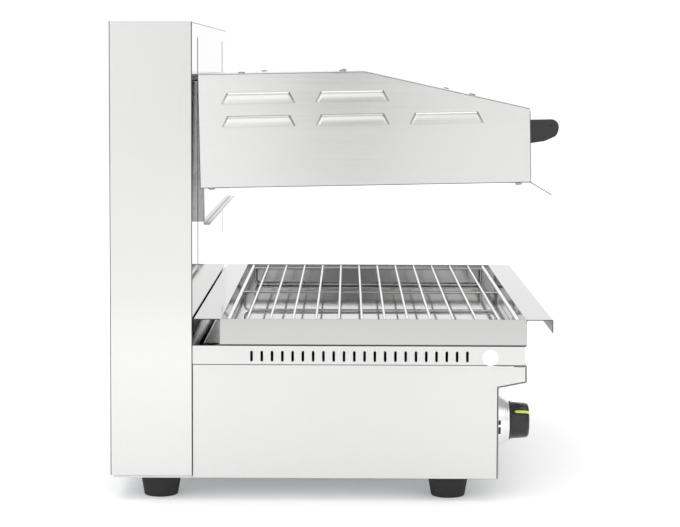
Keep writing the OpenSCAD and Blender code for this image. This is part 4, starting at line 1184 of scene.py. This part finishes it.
def tray_pan(low, high, back, front):
    """The tray's floor, front and back in one folded sheet, with the lips of its flanges."""
    sheets = settings("sheets")
    t, lip = sheets.thin_sheet, 0.015
    path = [(high.y, high.z - lip), (high.y, high.z), (back - t, high.z), (back - t, low.z + t),
            (front + t, low.z + t), (front + t, high.z), (low.y, high.z), (low.y, high.z - lip)]
    mesh = swept(path, low.x, high.x, sheets.bend)
    floor = min(mesh.polygons, key=lambda p: p.center.z)
    if floor.normal.z < 0:
        mesh.flip_normals()
    thing = as_object("pan", mesh)
    # The pan's rims take the dark edge steel: painted shade for the gap under the tray.
    thicken(thing, t, even=True).material_offset_rim = 1
    break_edges(thing, sheets.edge, 1, 50.0, ground=True)
    return settled(thing)


def tray_sides(low, high, back, front):
    """The tray's two side walls, broadly bevelled along their lower edges, the bevels dark with
    painted shade.
    """
    t = settings("sheets").thin_sheet
    foot = low.z + t
    wall = [(back, foot), (front, foot), (front, high.z), (back, high.z)]
    return [edge_shaded_sheet(prism(wall, x0, x1, lambda x, y, z: (x, y, z)), t, high.x,
                         lambda a, b: max(a.z, b.z) < foot + TOUCH)
            for x0, x1 in ((low.x, low.x + t), (high.x - t, high.x))]


def grate_shape():
    """A grate of thin bars, two edge bars, and cross wires with bent legs below them."""
    g = ShapeWiring("wire_grate", False, bars=12, pitch=0.0254, bar=0.003, edge_bar=0.005,
                    half_width=0.3, rear=0.0, front=-0.3, top=0.2, floor=0.17, leg_x=0.28,
                    leg_bend=0.006)
    bar, edge_bar, pitch = g.given("bar"), g.given("edge_bar"), g.given("pitch")
    wide, leg_x, top = g.given("half_width"), g.given("leg_x"), g.given("top")
    rear, front = g.given("rear"), g.given("front")
    across = straight(g, g.combine(g.times(wide, -1.0)), g.combine(wide))
    span = g.times(g.minus(g.given("bars"), 1), pitch)
    first = g.plus(g.times(g.plus(rear, front), 0.5), g.times(span, 0.5))
    bar_z = g.minus(top, g.times(bar, 0.5))
    thin = repeated(g, g.given("bars"), g.combine(0.0, first, bar_z),
                    g.combine(0.0, g.times(pitch, -1.0)), g.round_wire(across, bar, 14))
    edge_z = g.minus(top, g.times(edge_bar, 0.5))
    thick = repeated(g, 2, g.combine(0.0, rear, edge_z), g.combine(0.0, g.minus(front, rear)),
                     g.round_wire(across, edge_bar, 18))
    cross_z = g.plus(g.minus(bar_z, bar), 0.0002)
    cross = straight(g, g.combine(0.0, rear, cross_z), g.combine(0.0, front, cross_z))
    leg = bent_leg(g, cross_z)
    wires = repeated(g, 3, g.combine(g.times(leg_x, -1.0)), g.combine(leg_x),
                     g.join(g.round_wire(cross, bar, 14), g.round_wire(leg, bar, 14)))
    return g.close(g.join(thin, thick, wires))


def straight(g, start, end):
    """A straight curve between two places."""
    return g.add("GeometryNodeCurvePrimitiveLine", {"Start": start, "End": end})


def repeated(g, number, start, step, shape):
    """That number of the shape in a row, each one step on from the last."""
    spots = g.add("GeometryNodeMeshLine", {"Count": number, "Start Location": start,
                                           "Offset": step})
    return g.instance(spots, shape)


def bent_leg(g, high):
    """The path of a leg: down from the cross wire, along the tray's floor and up again."""
    bar = g.given("bar")
    low = g.plus(g.given("floor"), g.times(bar, 0.5))
    rear = g.minus(g.given("rear"), bar)
    front = g.plus(g.given("front"), bar)
    frame_curve = g.add("GeometryNodeCurvePrimitiveQuadrilateral", mode="POINTS")
    corners = ((rear, high), (rear, low), (front, low), (front, high))
    for i, (y, z) in enumerate(corners):
        g.put(frame_curve.inputs["Point %d" % (i + 1)], g.combine(0.0, y, z))
    edges = g.add("GeometryNodeCurveToMesh", {"Curve": frame_curve})
    ends = g.add("GeometryNodeInputMeshEdgeVertices")
    z1 = g.split(ends.outputs["Position 1"])[2]
    z2 = g.split(ends.outputs["Position 2"])[2]
    upper = g.math("COMPARE", g.plus(z1, z2), g.times(high, 2.0), 0.001)
    cut = g.add("GeometryNodeDeleteGeometry", {"Geometry": edges, "Selection": upper},
                domain="EDGE", mode="EDGE_FACE")
    curve = g.add("GeometryNodeMeshToCurve", {0: cut})
    return g.add("GeometryNodeFilletCurve", {"Curve": curve, "Radius": g.given("leg_bend"),
                                             "Count": 6, "Limit Radius": True},
                 mode="POLY").outputs[0]


class GRILL_OT_grate(bpy.types.Operator):
    """Make the wire grate"""
    bl_idname = "grill.grate"
    bl_label = "Wire Grate"

    def execute(self, context):
        sizes = settings("grate")
        low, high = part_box("grate")
        edge, leg_inset = sizes.edge_bar / 2, 0.008
        thing = shaped(grate_shape(), finish("plated_wire"), bars=sizes.bars, pitch=sizes.pitch,
                       bar=sizes.bar, edge_bar=sizes.edge_bar, half_width=high.x,
                       rear=high.y - edge, front=low.y + edge, top=high.z, floor=low.z,
                       leg_x=high.x - leg_inset, leg_bend=sizes.leg_bend)
        stand_for(sharpened(cleaned(settled(thing)), 50.0), "grate")
        return {"FINISHED"}


def screw_dome(g):
    """The screw's head, closed below, turned from a grid by two drawn curves."""
    grid = g.add("GeometryNodeMeshGrid", {"Size X": 1.0, "Size Y": 1.0, "Vertices X": 25,
                                          "Vertices Y": 8})
    place_x, place_y = g.split(g.add("GeometryNodeInputPosition"))[:2]
    turn = g.times(place_x, 2 * math.pi)
    t = g.plus(place_y, 0.5)
    out = g.add("ShaderNodeFloatCurve", {"Value": t})
    up = g.add("ShaderNodeFloatCurve", {"Value": t})
    draw_curve(out, ((0, 0), (0.143, 0.42), (0.286, 0.74), (0.43, 0.92), (0.57, 1.0),
                     (0.714, 1.0), (0.857, 0.6), (1, 0)))
    draw_curve(up, ((0, 1), (0.143, 0.975), (0.286, 0.86), (0.43, 0.64), (0.57, 0.3),
                    (0.714, 0), (0.857, 0), (1, 0)))
    radius = g.times(g.times(g.given("head"), 0.5), out)
    spot = g.combine(g.times(radius, g.math("COSINE", turn)),
                     g.times(radius, g.math("SINE", turn)),
                     g.times(g.given("head_height"), up))
    dome = g.add("GeometryNodeSetPosition", {"Geometry": grid, "Position": spot})
    return g.add("GeometryNodeMergeByDistance", {"Geometry": dome, "Distance": TOUCH})


def screw_shape():
    """A pan-head screw with a cross recess on every point, along the point's axis."""
    g = ShapeWiring("pan_head_screws", True, head=0.0076, head_height=0.002, shank=0.004,
                    shank_length=0.008, recess=0.0042)
    cut = g.add("GeometryNodeMeshBoolean", {"Mesh 1": screw_dome(g)}, operation="DIFFERENCE",
                solver="EXACT")
    long, thin = g.given("recess"), g.times(g.given("recess"), 0.24)
    deep = g.times(g.given("head_height"), 1.3)
    high = g.combine(z=g.times(g.given("head_height"), 1.1))
    for wide, tall in ((long, thin), (thin, long)):
        cube = g.add("GeometryNodeMeshCube", {"Size": g.combine(wide, tall, deep)})
        arm = g.add("GeometryNodeTransform", {"Geometry": cube, "Translation": high})
        g.put(cut.inputs["Mesh 2"], arm)
    rod = g.add("GeometryNodeMeshCylinder", {"Vertices": 16,
                                             "Radius": g.times(g.given("shank"), 0.5),
                                             "Depth": g.given("shank_length")})
    down = g.combine(z=g.times(g.given("shank_length"), -0.5))
    rod = g.add("GeometryNodeTransform", {"Geometry": rod, "Translation": down})
    axis = g.add("GeometryNodeInputNamedAttribute", {"Name": "axis"}, data_type="FLOAT_VECTOR")
    aim = g.add("FunctionNodeAlignRotationToVector", {"Vector": axis.outputs[0]}, axis="Z")
    return g.close(g.instance(g.source.outputs[0], g.join(cut.outputs[0], rod.outputs[0]), aim))


def draw_curve(node, points):
    """Sets a float curve to straight runs through the points."""
    line = node.mapping.curves[0]
    for _ in range(len(points) - 2):
        line.points.new(0.5, 0.5)
    for point, (x, y) in zip(line.points, points):
        point.location = (x, y)
        point.handle_type = "VECTOR"
    node.mapping.update()


class GRILL_OT_screws(bpy.types.Operator):
    """Make every pan-head screw where the CAD has one"""
    bl_idname = "grill.screws"
    bl_label = "Screws"

    def execute(self, context):
        shape = screw_shape()
        sizes = settings("screws")
        for node in ("hood_screws", "back_panel_screws", "chassis_screws", "foot_screws",
                     "handle_screws"):
            spots = [screw_place(points) for points in islands(node)]
            mesh = bpy.data.meshes.new("spots")
            mesh.from_pydata([spot for spot, axis in spots], [], [])
            axes = mesh.attributes.new("axis", "FLOAT_VECTOR", "POINT")
            axes.data.foreach_set("vector", [c for spot, axis in spots for c in axis])
            thing = shaped(shape, finish("screw_steel"), mesh, head=sizes.head,
                           head_height=sizes.head_height, shank=sizes.shank,
                           shank_length=sizes.shank_length, recess=sizes.recess)
            stand_for(sharpened(settled(thing), 40.0), node)
        return {"FINISHED"}


def foot(points):
    """A rubber foot in the place of the CAD's, with a rounded tread."""
    low, high = extent(points)
    base, top, tall = 0.019, (high.x - low.x) / 2, high.z
    profile = [(0, 0.0012), (base - 0.005, 0.0012), (base - 0.0042, 0),
               *arc((base - 0.0018, 0.0018), 0.0018, -90, -8, 5),
               (top - 0.0006, tall - 0.0016),
               *arc((top - 0.0008, tall - 0.0008), 0.0008, 0, 90, 3), (0, tall)]
    spot = Matrix.Translation(((low.x + high.x) / 2, (low.y + high.y) / 2, 0))
    return turned(profile, spot, 72)


def side_cap(side, points):
    """A shallow white cap on the outside of a side, and its stem."""
    low, high = extent(points)
    r = (high.z - low.z) / 2
    edge = low.x if side < 0 else high.x
    spot = Matrix.Translation((edge, (low.y + high.y) / 2, (low.z + high.z) / 2))
    aim = spot @ Matrix.Rotation(math.radians(90 * side), 4, "Y")
    cap = [(0, 0), (r * 0.55, -0.0001), (r - 0.0014, -0.0004),
           *arc((r - 0.0009, -0.0013), 0.0009, 80, 0, 4), (r, -0.002), (0, -0.002)]
    stem = [(0, -0.0019), (0.004, -0.0019), (0.004, -0.0095), (0.0032, -0.010), (0, -0.010)]
    return [turned(cap, aim, 56), turned(stem, aim, 24)]


class GRILL_OT_feet(bpy.types.Operator):
    """Make the rubber feet and the white side caps"""
    bl_idname = "grill.feet"
    bl_label = "Feet and Caps"

    def execute(self, context):
        stand_for(joined([foot(points) for points in islands("feet")]), "feet")
        caps = []
        for side, points in zip((-1, 1), islands("side_caps")):
            caps += side_cap(side, points)
        stand_for(joined(caps), "side_caps")
        return {"FINISHED"}


def at_control(joint, rest=0.0):
    """Turns what is made up +Z so that it points out of the control panel at that knob."""
    spot = Matrix.Translation(Vector(JOINT[joint]["pos_m"]))
    return spot @ Matrix.Rotation(math.radians(90), 4, "X") @ Matrix.Rotation(rest, 4, "Z")


def pointer_rest():
    """Angle of the left knob's pointer from straight up, as the CAD has it."""
    x0, _, z0 = JOINT["knob_left_turn"]["pos_m"]
    spots = [v.co for v in frame["nodes"]["knob_pointer_left"].data.vertices]
    reach = max(math.hypot(p.x - x0, p.z - z0) for p in spots)
    outer = [p for p in spots if math.hypot(p.x - x0, p.z - z0) > 0.9 * reach]
    tip = sum(outer, Vector()) / len(outer)
    return math.atan2(x0 - tip.x, tip.z - z0)


POINTER_REST = pointer_rest()


def knob_profile(sizes, low, proud=0.0):
    """Outline of the knob's body from its base, the whole of it proud by that much."""
    front = sizes.knob_front / 2 + proud
    long = low + sizes.knob_length + proud
    return [(sizes.knob / 2 + proud, low + 0.0022), (front + 0.0006, long - 0.0042),
            *arc((front - 0.0034, long - 0.0038), 0.0038, 4, 90, 8)]


class GRILL_OT_knobs(bpy.types.Operator):
    """Make the knobs, their pointers and the marked dial bezels"""
    bl_idname = "grill.knobs"
    bl_label = "Knobs and Dials"

    def execute(self, context):
        sizes = settings("controls")
        marks = dial_shape()
        for hand in HANDS:
            joint = "knob_%s_turn" % hand
            low = JOINT[joint]["pos_m"][1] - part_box("knob_" + hand)[1].y
            make_knob(sizes, hand, joint, low)
            make_pointer(sizes, hand, joint, low)
            make_bezel(sizes, hand, joint)
            make_marks(sizes, hand, joint, marks)
            dressed("regulator_shaft_" + hand)
        return {"FINISHED"}


def make_knob(sizes, hand, joint, low):
    """A knob whose flange starts so far out from the panel, with a fine groove in its front."""
    flange = sizes.flange / 2
    front = low + sizes.knob_length
    profile = [(0, low), (flange - 0.0004, low), (flange, low + 0.0004), (flange, low + 0.0013),
               (flange - 0.0004, low + 0.0017), *knob_profile(sizes, low),
               (0.0135, front), (0.0130, front - 0.00035), (0.0125, front), (0, front)]
    stand_for(turned(profile, at_control(joint), 96), "knob_" + hand)


def pointer_path(sizes, low):
    """[radius, height] of the pointer's rows: its tail, up the knob's side and over its front."""
    proud = 0.0005
    outline = [p for p in knob_profile(sizes, low, proud) if p[1] > low + 0.008]
    tail = [(outline[0][0] + (outline[0][1] - low - rise) * 0.068, low + rise)
            for rise in (0.0052, 0.0062, 0.0090)]
    return [*tail, *outline, (0.0048, low + sizes.knob_length + proud)]


def pointer_sheet(sizes, low):
    """The pointer's face, with sunken long edges and a narrower, sunken tail."""
    across = (-1, -0.8, -0.4, 0, 0.4, 0.8, 1)
    sinks = (0.0011, 0.0002, 0.0, 0.0, 0.0, 0.0002, 0.0011)
    tail_widths, first_on_front = (0.6, 0.85), 9
    bm = bmesh.new()
    rows = []
    for i, (r, h) in enumerate(pointer_path(sizes, low)):
        half = sizes.pointer / 2
        broad = tail_widths[i] if i < len(tail_widths) else 1.0
        cells = []
        for share, sink in zip(across, sinks):
            x = share * half * broad
            y = math.sqrt(max(r * r - x * x, 0))
            lower = sink + (sinks[0] if i == 0 else 0)
            at = (x, y, h - lower) if i >= first_on_front else (x, y - lower, h)
            cells.append(bm.verts.new(at))
        rows.append(cells)
    for a, b in zip(rows, rows[1:]):
        for k in range(len(across) - 1):
            bm.faces.new((a[k], a[k + 1], b[k + 1], b[k]))
    return mesh_of(bm, "pointer")


def make_pointer(sizes, hand, joint, low):
    """A bar that follows the knob's side and front, with a rounded tail."""
    mesh = pointer_sheet(sizes, low)
    inside = Vector((0.0, 0.0, low + sizes.knob_length / 2))
    if sum(p.area * p.normal.dot(p.center - inside) for p in mesh.polygons) < 0:
        mesh.flip_normals()
    mesh.transform(at_control(joint, POINTER_REST))
    for polygon in mesh.polygons:
        polygon.use_smooth = True
    thing = as_object("pointer", mesh)
    depth = 0.0018
    thicken(thing, depth)
    soften(thing)
    stand_for(settled(thing), "knob_pointer_" + hand)


def bezel_cone(sizes):
    """[radius, height] of the rim and of the small end of the bezel's cone."""
    return (sizes.bezel / 2 - 0.0006, 0.0017), (0.0226, sizes.bezel_height)


def bezel_point(sizes, share):
    """[radius, height] of the bezel's cone, from its rim (0) to its small end (1)."""
    rim, top = bezel_cone(sizes)
    return rim[0] + (top[0] - rim[0]) * share, rim[1] + (top[1] - rim[1]) * share


def make_bezel(sizes, hand, joint):
    """The chromed cone, with a rolled rim and two fine steps near its small end."""
    r = sizes.bezel / 2
    profile = [(0.0055, 0), (r - 0.0004, 0), (r, 0.0004), (r, 0.0011), (r - 0.0005, 0.0016)]
    for share in (0.02, 0.2, 0.4, 0.58):
        profile.append(bezel_point(sizes, share))
    for share in (0.66, 0.80):
        x, y = bezel_point(sizes, share)
        profile += [(x, y), (x - 0.0002, y + 0.0001), (x - 0.00035, y + 0.0004)]
    top = sizes.bezel_height
    profile += [bezel_point(sizes, 0.97), (0.0222, top), (0.0168, top), (0.0160, top - 0.0012),
                (0.0160, 0.004), (0.0055, 0.004)]
    stand_for(turned(profile, at_control(joint), 96, hollow=True), "dial_bezel_" + hand)


def dial_shape():
    """Printed marks laid round a cone, each a little longer than the last."""
    g = ShapeWiring("dial_marks", False, marks=12, first=0.3, spacing=0.33, length=0.05,
                    growth=0.1, width=0.0028, radius=0.031, height=0.003, slope=0.7)
    grid = g.add("GeometryNodeMeshGrid", {"Size X": 1.0, "Size Y": 1.0, "Vertices X": 7,
                                          "Vertices Y": 2})
    spots = g.add("GeometryNodeMeshLine", {"Count": g.given("marks"), "Start Location": (0, 0, 0),
                                           "Offset": g.combine(g.given("spacing"))})
    share = g.math("DIVIDE", g.add("GeometryNodeInputIndex").outputs[0],
                   g.math("MAXIMUM", g.minus(g.given("marks"), 1), 1))
    longer = g.plus(g.given("length"), g.times(g.given("growth"), share))
    strips = g.instance(spots, grid.outputs[0], scale=g.combine(longer, g.given("width"), 1.0))
    around, inward = g.split(g.add("GeometryNodeInputPosition"))[:2]
    turn = g.plus(g.given("first"), around)
    out = g.minus(g.given("radius"), inward)
    rise = g.plus(g.given("height"), g.times(inward, g.given("slope")))
    spot = g.combine(g.times(g.math("SINE", turn), g.times(out, -1.0)),
                     g.times(g.math("COSINE", turn), out), rise)
    return g.close(g.add("GeometryNodeSetPosition", {"Geometry": strips, "Position": spot}))


def make_marks(sizes, hand, joint, shape):
    """A growing scale clockwise from off, and the two blocks beside the off position."""
    radius, height = bezel_point(sizes, 0.17)
    rim, top = bezel_cone(sizes)
    slope = (top[1] - rim[1]) / (rim[0] - top[0])
    behind = Vector(JOINT[joint]["pos_m"]) + Vector((0, 0.02, 0))
    scale = (sizes.marks, math.radians(18), math.radians(-17), 0.05, 0.14, 0.0022)
    blocks = (2, math.radians(85.5), math.radians(17.5), 0.16, 0.11, 0.0026)
    meshes = []
    for number, first, spacing, length, growth, width in (scale, blocks):
        thing = shaped(shape, finish("printed_black"), marks=number, first=first, spacing=spacing,
                       length=length, growth=growth, width=width, radius=radius, height=height,
                       slope=slope)
        mesh = settled(thing)
        mesh.transform(at_control(joint))
        face = mesh.polygons[0]
        if face.normal.dot(face.center - behind) < 0:
            mesh.flip_normals()
        meshes.append(mesh)
    thing = as_object("marks", joined(meshes))
    ink = 0.00024
    thicken(thing, ink, offset=0.0)
    place(settled(thing), "dial_marks_" + hand, "dial_bezel_" + hand, "printed_black")


class GRILL_OT_electrics(bpy.types.Operator):
    """Make the lamps, regulators, terminal block and cable gland"""
    bl_idname = "grill.electrics"
    bl_label = "Lamps and Wiring Parts"

    def execute(self, context):
        for hand in HANDS:
            dressed("energy_regulator_" + hand, edge=0.0003)
            make_lamp("pilot_lamp_" + hand)
        dressed("terminal_block", edge=0.0003)
        dressed("cable_gland", edge=0.0004)
        return {"FINISHED"}


def make_lamp(node):
    """A lens with a domed front and a thin rim, and its body behind the panel."""
    low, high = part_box(node)
    panel = JOINT["knob_left_turn"]["pos_m"][1]
    spot = Matrix.Translation(((low.x + high.x) / 2, panel, (low.z + high.z) / 2))
    aim = spot @ Matrix.Rotation(math.radians(90), 4, "X")
    rim, tall, deep = (high.x - low.x) / 2, panel - low.y, panel - high.y
    lens = rim - 0.0008
    profile = [(0, deep), (lens - 0.0008, deep), (lens - 0.0008, 0), (rim, 0), (rim, 0.0006),
               (rim - 0.0004, 0.001), (lens, 0.001), (lens - 0.0002, 0.0018),
               (lens * 0.85, tall * 0.86), (lens * 0.6, tall * 0.955),
               (lens * 0.3, tall * 0.99), (0, tall)]
    stand_for(turned(profile, aim, 56), node)


class GRILL_OT_lift_gear(bpy.types.Operator):
    """Make the rods, rails, carriage and buffers inside the column"""
    bl_idname = "grill.lift_gear"
    bl_label = "Lift Gear"

    def execute(self, context):
        for node in ("upper_cross_rail", "lower_cross_rail", "carriage_tube"):
            dressed(node)
        # The lift arms take the dark screw steel: painted shade for the gap between the column and
        # the hood.
        dressed("lift_arms", "screw_steel")
        for node in ("guide_rods", "rod_collars", "stop_buffers", "slide_blocks"):
            dressed(node, edge=0.0005)
        return {"FINISHED"}


def spring_shape():
    """A wound spring whose end turns lie closed."""
    g = ShapeWiring("lift_spring", False, diameter=0.018, wire=0.0022, turns=22, length=0.16)
    wire = g.given("wire")
    mean = g.times(g.minus(g.given("diameter"), wire), 0.5)
    rise = g.minus(g.given("length"), wire)
    spiral = g.add("GeometryNodeCurveSpiral", {"Resolution": 20, "Rotations": g.given("turns"),
                                               "Start Radius": mean, "End Radius": mean,
                                               "Height": rise})
    x, y, z = g.split(g.add("GeometryNodeInputPosition"))
    ease = g.add("ShaderNodeFloatCurve", {"Value": g.math("DIVIDE", z, rise)})
    draw_curve(ease, ((0, 0), (0.06, 0.018), (0.94, 0.982), (1, 1)))
    spot = g.combine(x, y, g.plus(g.times(ease, rise), g.times(wire, 0.5)))
    wound = g.add("GeometryNodeSetPosition", {"Geometry": spiral, "Position": spot})
    return g.close(g.round_wire(wound, wire, 10))


class GRILL_OT_springs(bpy.types.Operator):
    """Make the two lift springs, stretched between the column and the carriage"""
    bl_idname = "grill.springs"
    bl_label = "Lift Springs"

    def execute(self, context):
        sizes = settings("springs")
        shape = spring_shape()
        for hand in HANDS:
            node = "lift_spring_" + hand
            low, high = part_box(node)
            thing = shaped(shape, finish("spring_wire"), diameter=sizes.diameter, wire=sizes.wire,
                           turns=sizes.turns, length=high.z - low.z)
            mesh = cleaned(settled(thing))
            spot = Vector(((low.x + high.x) / 2, (low.y + high.y) / 2, low.z))
            mesh.transform(Matrix.Translation(spot))
            mesh.materials.append(finish("spring_wire"))
            piece = as_object(node + "_finished", sharpened(mesh, 50.0))
            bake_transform(piece)
            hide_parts(node)
        return {"FINISHED"}


class GRILL_OT_heating(bpy.types.Operator):
    """Make the reflector, heating tubes, hangers and insulators"""
    bl_idname = "grill.heating"
    bl_label = "Heating Gear"

    def execute(self, context):
        dressed("reflector")
        dressed("element_hangers")
        dressed("element_terminals", edge=0.0005)
        for hand in HANDS:
            dressed("heating_element_" + hand, edge=0.0)
        return {"FINISHED"}


class GRILL_OT_blanket(bpy.types.Operator):
    """Make the insulation blanket above the reflector"""
    bl_idname = "grill.blanket"
    bl_label = "Insulation Blanket"

    def execute(self, context):
        node = "insulation_blanket"
        low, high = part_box(node)
        bm = bmesh.new()
        bmesh.ops.create_cube(bm, size=2.0)
        bmesh.ops.subdivide_edges(bm, edges=bm.edges, cuts=15, use_grid_fill=True)
        for vert in bm.verts:
            vert.co = blanket_spot(low, high, *vert.co)
        thing = as_object("blanket", cleaned(mesh_of(bm, "blanket")))
        soften(thing)
        piece = stand_for(settled(thing), node)
        return {"FINISHED"}


def blanket_spot(low, high, x, y, z):
    """Where a point of a cube goes: pinched along its edges, tilted, and wavy on its top."""
    half = (high - low) / 2
    edge = max(abs(x), abs(y))
    pinch = 1.0 - 0.22 * max(0.0, (edge - 0.9) / 0.1) ** 2
    wave = 0.0011 * math.sin(x * 17.3 + 1.1) * math.sin(y * 13.7 + 0.4)
    side_gap, end_gap, wave_room, thickness_room = 0.0016, 0.0045, 0.0008, 0.0032
    tall = half.z - thickness_room
    return ((low.x + high.x) / 2 + x * (half.x - side_gap),
            (low.y + high.y) / 2 + y * (half.y - end_gap),
            (low.z + high.z) / 2 - y * half.y * math.tan(HOOD_TILT)
            + z * (tall - wave_room) * pinch + (wave if z > 0 else 0.0))


class GRILL_OT_handle(bpy.types.Operator):
    """Make the handle bar and its end caps"""
    bl_idname = "grill.handle"
    bl_label = "Handle"

    def execute(self, context):
        dressed("handle_bar", edge=0.0004, angle=50.0)
        dressed("handle_caps", edge=0.00025, angle=50.0)
        return {"FINISHED"}


class GRILL_OT_studio(bpy.types.Operator):
    """Make the pale floor, the soft light and the camera"""
    bl_idname = "grill.studio"
    bl_label = "Studio"

    def execute(self, context):
        mesh = bpy.data.meshes.new("floor")
        reach = 9.0
        mesh.from_pydata([(-reach, -reach, 0), (reach, -reach, 0), (reach, reach, 0),
                          (-reach, reach, 0)], [], [(0, 1, 2, 3)])
        floor = as_object("floor", mesh)
        mesh.materials.append(finish("floor"))
        studio = settings("studio")
        soft_box("overhead", (14.0, 14.0), studio.overhead, (0.0, 0.0, 4.0), 0.0)
        soft_box("side", (0.8, 2.6), studio.side, (-1.7, 0.0, 0.75), -62.0)
        make_surround(studio.surround)
        make_camera()
        return {"FINISHED"}


def soft_box(name, extent, power, spot, lean):
    """A soft box that is never seen or mirrored, leaning from straight down towards +X."""
    data = bpy.data.lights.new(name, "AREA")
    data.shape = "RECTANGLE"
    data.size, data.size_y = extent
    data.energy = power
    lamp = as_object(name, data)
    lamp.location = spot
    lamp.rotation_euler = (0.0, math.radians(lean), 0.0)
    lamp.visible_camera = False
    lamp.visible_glossy = False


def make_surround(base):
    """Soft light from all round: brighter above, and darker to the front and the back."""
    world = bpy.data.worlds.new("surround")
    world.use_nodes = True
    g = Wiring(world.node_tree)
    g.tree.nodes.clear()
    x, y, z = g.split(g.add("ShaderNodeTexCoord").outputs["Generated"])
    left = g.math("LESS_THAN", x, 0.0)
    side = g.math("ABSOLUTE", y)
    lean = g.times(ramp(g, y, -0.07, 0.07, 1.08, 1.2), ramp(g, y, 0.06, 0.14, 1.0, 1.14))
    dip = g.times(bell(g, g.plus(y, 0.002), 0.028), bell(g, z, 0.3))
    low = g.add("ShaderNodeMix", {0: left, 2: 1.05, 3: g.minus(lean, dip)})
    corners = g.times(ramp(g, side, 0.35, 0.6, 0.0, 1.0), ramp(g, side, 0.8, 0.92, 1.0, 0.0))
    wall = g.times(low, g.minus(1.0, g.times(corners, 0.6)))
    raised = g.times(wall, ramp(g, z, 0.15, 0.3, 1.0, 1.2))
    upper = g.times(raised, ramp(g, z, 0.6, 0.75, 1.0, 0.4))
    level = g.plus(upper, ramp(g, z, 0.86, 0.93, 0.0, 1.5))
    seen = g.add("ShaderNodeLightPath").outputs["Is Camera Ray"]
    strength = g.math("MAXIMUM", level, seen)
    back = g.add("ShaderNodeBackground", {"Color": (*base, 1.0), "Strength": strength})
    g.put(g.add("ShaderNodeOutputWorld").inputs["Surface"], back)
    bpy.context.scene.world = world


def ramp(g, value, start, end, low, high):
    """A smooth step from low to high as the value goes from start to end."""
    return g.add("ShaderNodeMapRange", {0: value, 1: start, 2: end, 3: low, 4: high},
                 interpolation_type="SMOOTHSTEP").outputs[0]


def bell(g, value, width):
    """A bell curve that is 1 at 0."""
    square = g.math("POWER", g.math("DIVIDE", value, width), 2.0)
    return g.math("POWER", math.e, g.times(square, -1.0))


def make_camera():
    """A long lens from the left side, level with the hood."""
    down, roll, turn = 3.801, -0.183, 0.252
    data = bpy.data.cameras.new("camera")
    data.sensor_width = 36.0
    data.lens = 104.5
    data.shift_y = -0.1
    data.clip_end = 60.0
    camera = as_object("camera", data)
    camera.location = (-2.4647, -0.0079, 0.4837)
    camera.rotation_euler = (math.radians(90 - down), math.radians(roll),
                             math.radians(-90 + turn))
    bpy.context.scene.camera = camera
    bpy.context.scene.view_settings.view_transform = "Standard"


# ------------------------------------------------------------------ panel and registration

GROUPS = {
    "metals": GRILL_PG_metals, "mouldings": GRILL_PG_mouldings, "sheets": GRILL_PG_sheets,
    "hood": GRILL_PG_hood, "screws": GRILL_PG_screws, "grate": GRILL_PG_grate,
    "springs": GRILL_PG_springs, "controls": GRILL_PG_controls, "studio": GRILL_PG_studio,
}
STEPS = (GRILL_OT_column, GRILL_OT_base, GRILL_OT_hood_shell, GRILL_OT_hood_sides,
         GRILL_OT_tray, GRILL_OT_grate, GRILL_OT_screws, GRILL_OT_feet, GRILL_OT_knobs,
         GRILL_OT_electrics, GRILL_OT_lift_gear, GRILL_OT_springs, GRILL_OT_heating,
         GRILL_OT_blanket, GRILL_OT_handle, GRILL_OT_studio)


class GRILL_PT_sidebar(bpy.types.Panel):
    """Lists the grill's settings and the steps that make it"""
    bl_label = "Lift-Hood Grill"
    bl_idname = "GRILL_PT_sidebar"
    bl_space_type = "VIEW_3D"
    bl_region_type = "UI"
    bl_category = "Grill"

    def draw(self, context):
        for step in STEPS:
            self.layout.operator(step.bl_idname)
        for name in GROUPS:
            box = self.layout.box()
            box.label(text=name.capitalize())
            group = settings(name)
            for key in group.__annotations__:
                box.prop(group, key)


def register():
    for name, group in GROUPS.items():
        bpy.utils.register_class(group)
        setattr(bpy.types.Scene, "grill_" + name, bpy.props.PointerProperty(type=group))
    for step in STEPS:
        bpy.utils.register_class(step)
    bpy.utils.register_class(GRILL_PT_sidebar)


def unregister():
    bpy.utils.unregister_class(GRILL_PT_sidebar)
    for step in reversed(STEPS):
        bpy.utils.unregister_class(step)
    for name, group in GROUPS.items():
        delattr(bpy.types.Scene, "grill_" + name)
        bpy.utils.unregister_class(group)


def main():
    """Makes the whole grill."""
    register()
    FOLD["tree"] = folded_sheet_shape()
    for step in STEPS:
        group, name = step.bl_idname.split(".")
        getattr(getattr(bpy.ops, group), name)()


if __name__ == "__main__":
    main()
